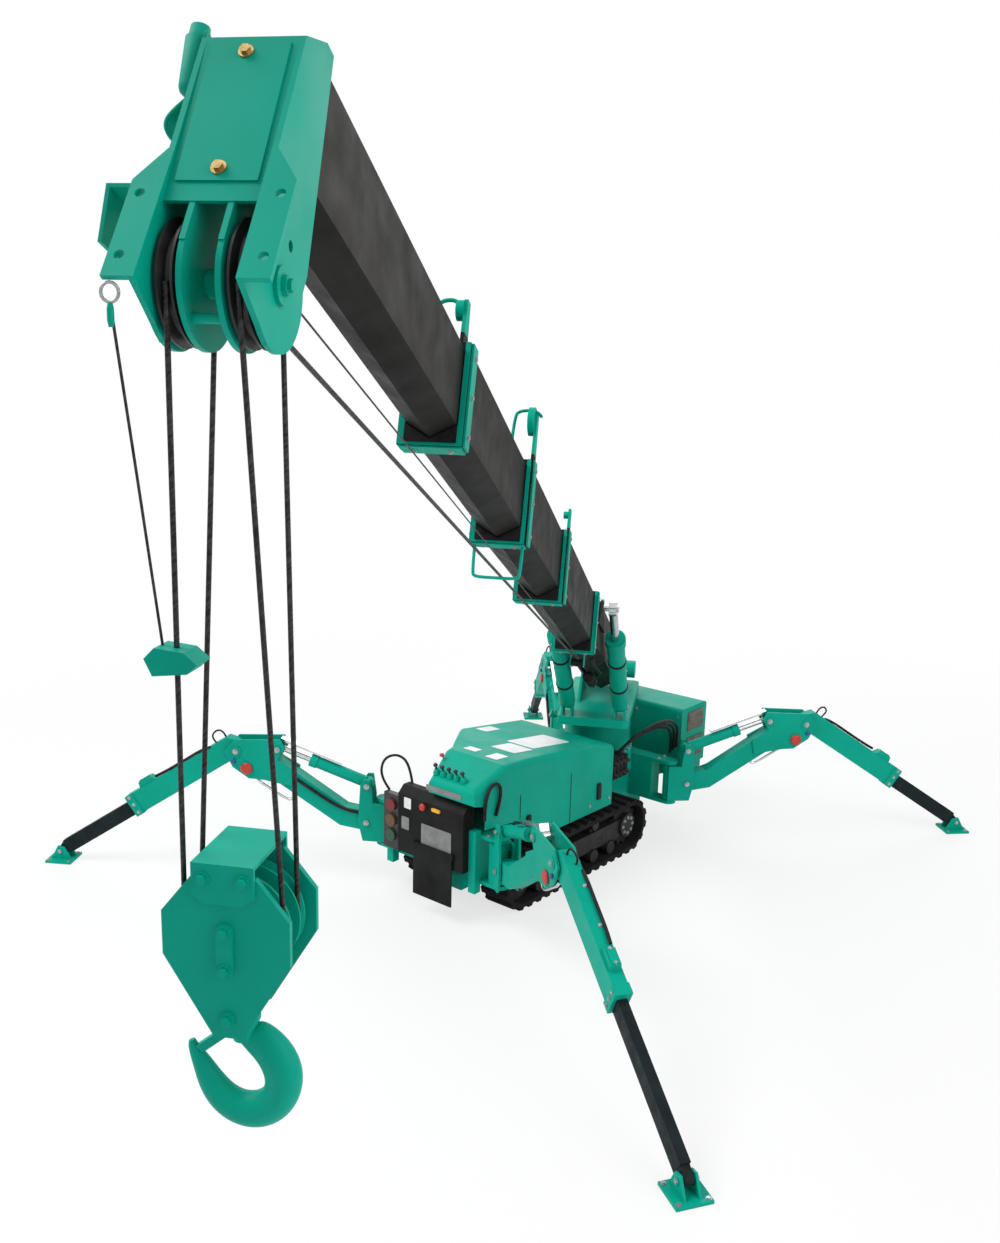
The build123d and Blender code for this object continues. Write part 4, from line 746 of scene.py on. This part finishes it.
wear(boom_paint, 12.0, 0.45, 0.62)
grain(boom_paint, 350.0, 0.0004, 0.15)
dress(boom_paint, "boom_1", "boom_2", "boom_3", "boom_4", "boom_5")


def on_boom(t, v, n):
    """Point in boom axes: along, left and up from the foot pin."""
    return foot + out_way * t + left_way * v + up_way * n


pad_nylon = finish("pad_nylon", 0.6, 0.0, 0.1)
mottle(pad_nylon, 30.0, [(0.3, grey(0.006)), (0.8, grey(0.02))])
wear(pad_nylon, 60.0, 0.45, 0.7)
hand = {-1: "right", 1: "left"}
frame_ends = {1: 1.770, 2: 3.070, 3: 4.010, 4: 4.950}
tip_half, tip_top, tip_keel = 0.058, 0.132, -0.082
nesting_step = 0.0085
keel_growth = 1.15
keel_slope = 0.569
collar_wall = 0.007
collar_middle = 0.0275
guide_plate = 0.005
for k, t in frame_ends.items():
    grow = (5 - k) * nesting_step
    half = tip_half + grow + collar_wall
    top = tip_top + grow + collar_wall
    bottom = tip_keel - grow * keel_growth - collar_wall
    hole = tip_half + grow - nesting_step + 0.003
    tip = tip_keel - (grow - nesting_step) * keel_growth - 0.0035
    corner = tip + keel_slope * hole
    rim = [(-half, bottom), (half, bottom), (half, top), (hole, top), (hole, corner), (0.0, tip),
           (-hole, corner), (-hole, top), (-half, top)]
    body = f"boom{k}"
    flat_plate(f"frame_face_{k}", rim, on_boom(t + seat_gap, 0, 0), left_way, up_way, 0.004, teal_paint, body,
               0.0008)
    pad_low = bottom + 0.006
    slide = [(-hole, corner), (-hole, pad_low), (hole, pad_low), (hole, corner), (0.0, tip)]
    flat_plate(f"slide_pad_{k}", slide, on_boom(t + 0.0048, 0, 0), left_way, up_way, 0.006, pad_nylon, body,
               0.0005)
    middle = t - collar_middle
    flat_plate(f"frame_sole_{k}", rounded(2 * half, 0.052, 0.004), on_boom(middle, 0, bottom - seat_gap),
               left_way, out_way, 0.004, teal_paint, body, 0.0008)
    frame_bolts = []
    for side in (-1, 1):
        stand_off = half + seat_gap
        if k in (2, 3) and side > 0:
            stand_off += guide_plate
        bar_middle = on_boom(middle, side * stand_off, (top + bottom) / 2)
        flat_plate(f"frame_bar_{k}_{hand[side]}", rounded(0.050, top - bottom, 0.004), bar_middle,
                   -out_way * side, up_way, 0.006, teal_paint, body, 0.0012)
        for n in (bottom + 0.03, (bottom + top) / 2, top - 0.03):
            frame_bolts.append((on_boom(middle, side * (stand_off + 0.0062), n), left_way * side))
        frame_bolts.append((on_boom(middle, side * half * 0.6, bottom - 0.0046), -up_way))
    bolt_on(f"frame_bolts_{k}", frame_bolts, 0.006, 0.005, zinc, body)
guard_back = 0.03
guard_wire = 0.005
for k, low_n, high_n, v, width in ((4, 0.148, 0.262, 0.025, 0.055), (3, 0.156, 0.320, 0.085, 0.075)):
    t = frame_ends[k] - guard_back
    hoop = ((v - width, low_n), (v - width, high_n - 0.02), (v - width + 0.02, high_n), (v, high_n),
            (v + 0.012, high_n - 0.02))
    line = [on_boom(t, *point) for point in hoop]
    tube(f"rope_guard_{k}", line, guard_wire, teal_paint, f"boom{k}")
t = frame_ends[3] - guard_back
hoop = ((-0.074, -0.095), (-0.074, -0.196), (-0.066, -0.210), (0.0, -0.210), (0.066, -0.210), (0.074, -0.196),
        (0.074, -0.095))
line = [on_boom(t, *point) for point in hoop]
tube("rope_guard_below", line, guard_wire, teal_paint, "boom3")

# Hoist rope and sensor cord: steel, taut below the boom from its head to a roller under the base section.
# Each span reaches from one section's frame to the next; all but the first ride on no body.
roller_t = 1.620
rope_end_t = 6.090


def below_boom(t, v, n_base, n_head):
    """Point of a taut line that runs straight from the lead roller to the head."""
    share = (t - roller_t) / (rope_end_t - roller_t)
    return on_boom(t, v, n_base + (n_head - n_base) * share)


line_base = -0.140
rope_head = -0.235
cord_v, cord_head = 0.020, -0.190
past_frame = 0.016
stations = [t + past_frame for t in frame_ends.values()] + [6.050]
for name, radius, v, n_head in (("hoist_rope", 0.0045, 0.0, rope_head),
                                ("sensor_cord", 0.0018, cord_v, cord_head)):
    first = [below_boom(t, v, line_base, n_head) for t in (roller_t, stations[0])]
    tube(f"{name}_1", first, radius, rope_wire, "boom1", False)
    for k in range(1, 5):
        near, far = (below_boom(t, v, line_base, n_head) for t in stations[k - 1:k + 1])
        line = [near, near.lerp(far, 0.33), near.lerp(far, 0.67), far]
        span = tube(f"{name}_{k + 1}", line, radius, rope_wire, None, False)
        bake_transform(span)
roller_axle_t = roller_t - 0.006
roller_v = 0.010
roller = [(-0.030, 0.010), (-0.026, 0.010), (-0.026, 0.024), (-0.020, 0.018), (0.020, 0.018), (0.026, 0.024),
          (0.026, 0.010), (0.030, 0.010)]
turned_part("lead_roller", roller, on_boom(roller_axle_t, roller_v, -0.1632), left_way, black_paint, "boom1")
lug_low = -0.183
for side in (-1, 1):
    lug_v = roller_v + side * 0.0302
    lug_high = -0.1195 + keel_slope * abs(lug_v)
    lug = [(-0.016, lug_low), (0.016, lug_low), (0.024, lug_high), (-0.024, lug_high)]
    flat_plate(f"lead_roller_lug_{hand[side]}", lug, on_boom(roller_axle_t, lug_v, 0.0), -out_way * side,
               up_way, 0.005, teal_paint, "boom1", 0.001)
valve = [(0.0, 0.014), (0.02, 0.018), (0.024, 0.030), (0.120, 0.030), (0.126, 0.024), (0.200, 0.024),
         (0.206, 0.030), (0.290, 0.030), (0.296, 0.016), (0.330, 0.014)]
turned_part("boom_valve", valve, on_boom(0.640, 0.0, -0.1525), out_way, black_paint, "boom1")
for k, v in enumerate((-0.048, -0.040, 0.040, 0.048)):
    under = -0.121 + keel_slope * abs(v) - 0.0095
    line = [on_boom(0.60, v * 0.5, under - 0.012), on_boom(0.66, v, under), on_boom(0.80, v, under),
            on_boom(1.20, v, under), on_boom(1.30, v * 1.2, under + 0.008)]
    tube(f"boom_pipe_{k + 1}", line, 0.007, hose_rubber, "boom1")
rope_socket = [(-0.034, 0.007), (-0.028, 0.010), (0.008, 0.013), (0.022, 0.017), (0.030, 0.012)]
turned_part("hoist_rope_socket", rope_socket, below_boom(6.062, 0.0, line_base, rope_head), out_way, zinc,
            "boom5")
cord_socket = [(-0.020, 0.003), (-0.016, 0.005), (0.010, 0.005), (0.014, 0.003)]
turned_part("sensor_cord_socket", cord_socket, below_boom(6.050, cord_v, line_base, cord_head), out_way, zinc,
            "boom5")

# Boom head: welded side plates round two sheaves, teal; two brass plugs sit in its front cover.
# A limit switch with its painted wires, and the ring of the over-hoist wire, hang on its right.
dress(teal_paint, "boom_head")
sheave_iron = finish("sheave_black", 0.4, 0.4)
mottle(sheave_iron, 18.0, [(0.3, grey(0.010)), (0.8, (0.04, 0.038, 0.036))])
wear(sheave_iron, 40.0, 0.3, 0.55)
dress(sheave_iron, "head_sheaves")
axle_t, axle_n = 6.110, -0.245
axle_end = 0.0845
cover_top_n, cover_low_n = 0.100, -0.167
cover_top_t, cover_low_t = 0.015, 0.074
face_proud = 0.0034
lean = (cover_low_t - cover_top_t) / (cover_top_n - cover_low_n)
face_way = (out_way + up_way * lean).normalized()


def on_face(v, n):
    """Point on the head's leaning front cover."""
    return on_boom(axle_t + cover_top_t + lean * (cover_top_n - n) + face_proud, v, n)


brass = finish("brass_plugs", 0.3, 0.9)
mottle(brass, 80.0, [(0.3, (0.35, 0.22, 0.08)), (0.7, (0.52, 0.36, 0.15))])
wear(brass, 120.0, 0.25, 0.45)
plugs = [(on_face(-0.004, 0.072), face_way), (on_face(0.0, -0.118), face_way)]
bolt_on("cover_plugs", plugs, 0.0075, 0.007, brass, "boom5")
axle_bolts = []
for side in (-1, 1):
    axle_bolts.append((on_boom(axle_t, side * axle_end, axle_n), left_way * side))
bolt_on("head_axle_bolts", axle_bolts, 0.009, 0.008, teal_paint, "boom5")
switch_t = axle_t - 0.02
switch_v = -0.096
switch = [(0.0, 0.010), (0.006, 0.017), (0.012, 0.019), (0.085, 0.019), (0.090, 0.015), (0.104, 0.014)]
turned_part("limit_switch", switch, on_boom(switch_t, switch_v, 0.035), up_way, teal_paint, "boom5")
flat_plate("switch_bracket", rounded(0.05, 0.07, 0.006), on_boom(switch_t, -0.0745, 0.085), out_way, up_way,
           0.004, teal_paint, "boom5", 0.001)
for k in range(4):
    line = [on_boom(switch_t, switch_v, 0.036), on_boom(switch_t + 0.006 * k, -0.104, 0.010),
            on_boom(axle_t - 0.01, -0.112 - 0.005 * k, -0.012),
            on_boom(axle_t - 0.03, switch_v - 0.004 * k, -0.034), on_boom(axle_t - 0.05, -0.076, -0.05)]
    tube(f"switch_wire_{k + 1}", line, 0.004, teal_paint, "boom5")
ring_top = on_boom(axle_t + 0.112, -0.100, axle_n - 0.052)
ring_radius = 0.012
ring_steps = 16
ring = []
for k in range(ring_steps + 1):
    angle = 2 * pi * k / ring_steps
    ring.append(ring_top + left_way * ring_radius * cos(angle)
                + Vector((0, 0, -0.010 + ring_radius * sin(angle))))
tube("overhoist_ring", ring, 0.0022, zinc, "boom5", False)

# Luff cylinders: honed chrome rods in teal barrels, with a steel pipe clipped along each barrel.
# The clips are black bands round the barrel.
chrome = finish("rod_chrome", 0.14, 1.0)
mottle(chrome, 30.0, [(0.3, (0.52, 0.53, 0.54)), (0.7, (0.68, 0.69, 0.70))])
wear(chrome, 90.0, 0.08, 0.24)
dress(chrome, "luff_rods")
dress(teal_paint, "luff_barrels")
push_way = Vector(joints["luff_rod"]["axis"]).normalized()
base_pin = Vector(joints["luff_barrel"]["pos_m"])
clip_way = push_way.cross(left_way)
barrel_v = 0.155
pipe_line = ((0.09, 0.049), (0.12, 0.064), (0.30, 0.064), (0.68, 0.064), (0.72, 0.060), (0.74, 0.052))
clip = [(0.0, 0.049), (0.002, 0.0515), (0.020, 0.0515), (0.022, 0.049)]
for side in (-1, 1):
    barrel_pin = base_pin + left_way * side * barrel_v
    line = [barrel_pin + push_way * s + clip_way * h for s, h in pipe_line]
    tube(f"luff_pipe_{hand[side]}", line, 0.007, zinc, "luff_barrels")
    for k, s in enumerate((0.25, 0.55)):
        turned_part(f"luff_clip_{hand[side]}_{k + 1}", clip, barrel_pin + push_way * s, push_way, black_paint,
                    "luff_barrels")

# Falls and over-hoist weight: four parts of dark steel rope; the weight slides on the front right part.
# Its thin trip wire rises to the ring on the head. The falls and the wire ride on no body.
head_axle = Vector(joints["head_sheaves"]["pos_m"])
block_axle = Vector(joints["block_sheaves"]["pos_m"])
fall_radius = 0.004
fall_sides = 10
fall_steps = 24
sheave_reach = 0.0766
head_gauge, block_gauge = 0.048, 0.028
falls = bmesh.new()
for x in (-1, 1):
    for y in (-1, 1):
        upper_end = head_axle + ahead * x * sheave_reach + left_way * y * head_gauge
        lower_end = block_axle + ahead * x * block_gauge + left_way * y * sheave_reach
        way = lower_end - upper_end
        rings = [(way.length * step / fall_steps, fall_radius) for step in range(fall_steps + 1)]
        add_rings(falls, rings, upper_end, way, fall_sides)
dress(rope_wire, "hoist_falls")
rope_falls = add_piece("rope_falls", mesh_of("rope_falls", falls), rope_wire, None)
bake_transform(rope_falls)
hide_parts("hoist_falls")
dress(teal_paint, "overhoist_weight")
low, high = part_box("overhoist_weight")
weight_top = Vector(((low[0] + high[0]) / 2, (low[1] + high[1]) / 2, high[2])) - left_way * 0.020
start = ring_top + Vector((0, 0, -0.022))
line = [start, (start + weight_top) / 2, weight_top - Vector((0, 0, 0.006))]
wire = tube("trip_wire", line, 0.002, rope_wire, None, False)
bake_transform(wire)
socket_length = 0.030
wire_socket = [(0.0, 0.003), (0.008, 0.0045), (0.022, 0.0045), (socket_length, 0.003)]
turned_part("trip_wire_socket", wire_socket, start + Vector((0, 0, -socket_length)), (0, 0, 1), teal_paint,
            "boom5")

# Hook block: two shield plates round the block sheaves, all teal, with a folded cover on top.
# Keeper bars hold the axle; the forged hook turns in its cross-head and has a sprung latch.
dress(teal_paint, "hook_block", "block_sheaves", "hook")
bolt_places = ((0.0705, 0.0, 0.012), (0.0705, 0.0, -0.048), (0.0685, -0.03, 0.092), (0.0685, 0.03, 0.092),
               (0.0665, 0.0, -0.128))
block_bolts = []
for side in (-1, 1):
    for u, v, z in bolt_places:
        spot = block_axle + ahead * side * u + left_way * v + Vector((0, 0, z))
        block_bolts.append((spot, ahead * side))
bolt_on("block_bolts", block_bolts, 0.008, 0.008, teal_paint, "block")
spring_radius = 0.006
spring_length = 0.024
spring_v, spring_z = -0.021, -0.172
steps_per_turn = 8
spring_steps = 48
spring = []
for k in range(spring_steps + 1):
    angle = 2 * pi * k / steps_per_turn
    coil = left_way * (spring_v + spring_radius * cos(angle))
    coil += Vector((0, 0, spring_z + spring_radius * sin(angle)))
    spring.append(block_axle + ahead * (spring_length * k / spring_steps - spring_length / 2) + coil)
tube("latch_spring", spring, 0.0014, zinc, "hook", False)

# Outriggers: knuckle, bent box arm, lift cylinder, leg sleeve, inner leg and foot at each corner.
# Sleeves and arms are teal, inner legs black; pins end in bolts, and a hose lies along arm and sleeve.
blue_plastic = finish("blue_cap", 0.35)
mottle(blue_plastic, 40.0, [(0.3, (0.01, 0.05, 0.20)), (0.75, (0.02, 0.10, 0.33))])
leg_black = finish("leg_black", 0.5, 0.0, 0.08)
mottle(leg_black, 11.0, [(0.3, (0.007, 0.012, 0.013)), (0.8, (0.016, 0.025, 0.026))], detail=5.0)
wear(leg_black, 24.0, 0.42, 0.62)
grain(leg_black, 340.0, 0.0004, 0.2)
pin_rows = (("knuckle", 0.0645, ((0.095, 0.370), (0.092, 0.580))),
            ("arm", 0.0585, ((0.592, 0.758), (0.826, 0.734))))
stop_disc = [(0.0, 0.030), (0.003, 0.033), (0.010, 0.033), (0.014, 0.026), (0.016, 0.010)]
cap_disc = [(0.0, 0.010), (0.003, 0.012), (0.011, 0.012), (0.014, 0.007)]
arm_face = 0.0522
lock_bar = ((0.50, 0.030, 0.500), (0.515, 0.030, 0.462), (0.56, 0.030, 0.472), (0.66, 0.030, 0.535),
            (0.70, 0.030, 0.556), (0.705, 0.036, 0.575))
arm_hose = ((0.13, 0.0445, 0.420), (0.20, 0.050, 0.430), (0.30, 0.050, 0.475), (0.44, 0.050, 0.565),
            (0.50, 0.046, 0.600))
knee_loop = ((0.03, -0.012, 0.088), (0.025, -0.012, 0.125), (0.05, -0.006, 0.150), (0.085, 0.006, 0.140),
             (0.09, 0.012, 0.110), (0.085, 0.012, 0.088))
sleeve_hose = ((0.12, 0.030, 0.088), (0.16, 0.030, 0.100), (0.30, 0.028, 0.099), (0.44, 0.028, 0.099),
               (0.50, 0.020, 0.104))
sleeve_top, lid_top = 0.0905, 0.1225
clamp_s, sleeve_end_s = (0.20, 0.40), 0.70
foot_plate_top = 0.0145
for key in ("fl", "fr", "rl", "rr"):
    arm, sleeve = f"arm_{key}", f"sleeve_{key}"
    dress(teal_paint, f"knuckle_{key}", arm, f"lift_barrel_{key}", f"leg_sleeve_{key}", f"foot_{key}")
    dress(leg_black, f"inner_leg_{key}")
    dress(chrome, f"lift_rod_{key}")
    root = Vector(joints[f"swivel_{key}"]["pos_m"])
    root.z = 0
    side_way = Vector(joints[f"knee_{key}"]["axis"]).normalized()
    reach_way = side_way.cross(Vector((0, 0, 1)))
    knee = Vector(joints[f"knee_{key}"]["pos_m"])
    leg_way = -Vector(joints[f"leg_{key}"]["axis"]).normalized()
    leg_up = leg_way.cross(side_way)

    def on_arm(r, v, z):
        """Point in the corner's own axes: outward, left and height."""
        return root + reach_way * r + side_way * v + Vector((0, 0, z))

    def on_leg(s, v, n):
        """Point in the leg's axes, from the knee pin."""
        return knee + leg_way * s + side_way * v + leg_up * n

    for part, pin_end, places in pin_rows:
        pins = []
        for side in (-1, 1):
            for r, z in places:
                pins.append((on_arm(r, side * pin_end, z), side_way * side))
        bolt_on(f"{part}_bolts_{key}", pins, 0.011, 0.008, zinc, f"{part}_{key}")
    for side in (-1, 1):
        turned_part(f"knee_stop_{key}_{hand[side]}", stop_disc, on_arm(0.765, side * arm_face, 0.640),
                    side_way * side, signal_red, arm)
        turned_part(f"knee_cap_{key}_{hand[side]}", cap_disc, on_arm(0.838, side * arm_face, 0.678),
                    side_way * side, blue_plastic, arm)
    tube(f"lock_bar_{key}", [on_arm(*point) for point in lock_bar], 0.008, chrome, arm)
    tube(f"knee_loop_{key}", [on_leg(*point) for point in knee_loop], 0.005, rubber_black, sleeve)
    tube(f"arm_hose_{key}", [on_arm(*point) for point in arm_hose], 0.009, hose_rubber, arm)
    tube(f"sleeve_hose_{key}", [on_leg(*point) for point in sleeve_hose], 0.008, hose_rubber, sleeve)
    clamps = [(on_leg(s, 0.014, sleeve_top), leg_up) for s in clamp_s]
    clamps += [(on_leg(s, 0.0, lid_top), leg_up) for s in (0.535, 0.60)]
    for side in (-1, 1):
        for n in (-0.02, 0.03, 0.075):
            clamps.append((on_leg(sleeve_end_s, side * 0.0405, n), side_way * side))
    bolt_on(f"sleeve_bolts_{key}", clamps, 0.007, 0.006, zinc, sleeve)
    flat_plate(f"latch_lid_{key}", rounded(0.075, 0.036, 0.005), on_leg(0.570, 0, 0.1224), leg_way, side_way,
               0.004, teal_paint, sleeve, 0.001)
    pivot = Vector(joints[f"foot_{key}"]["pos_m"])
    foot_pins = []
    for side in (-1, 1):
        foot_pins.append((pivot + side_way * side * 0.0425, side_way * side))
    for r in (-0.06, 0.06):
        for v in (-0.06, 0.06):
            spot = Vector((pivot.x, pivot.y, foot_plate_top)) + reach_way * r + side_way * v
            foot_pins.append((spot, (0, 0, 1)))
    bolt_on(f"foot_bolts_{key}", foot_pins, 0.008, 0.006, zinc, f"foot_{key}")
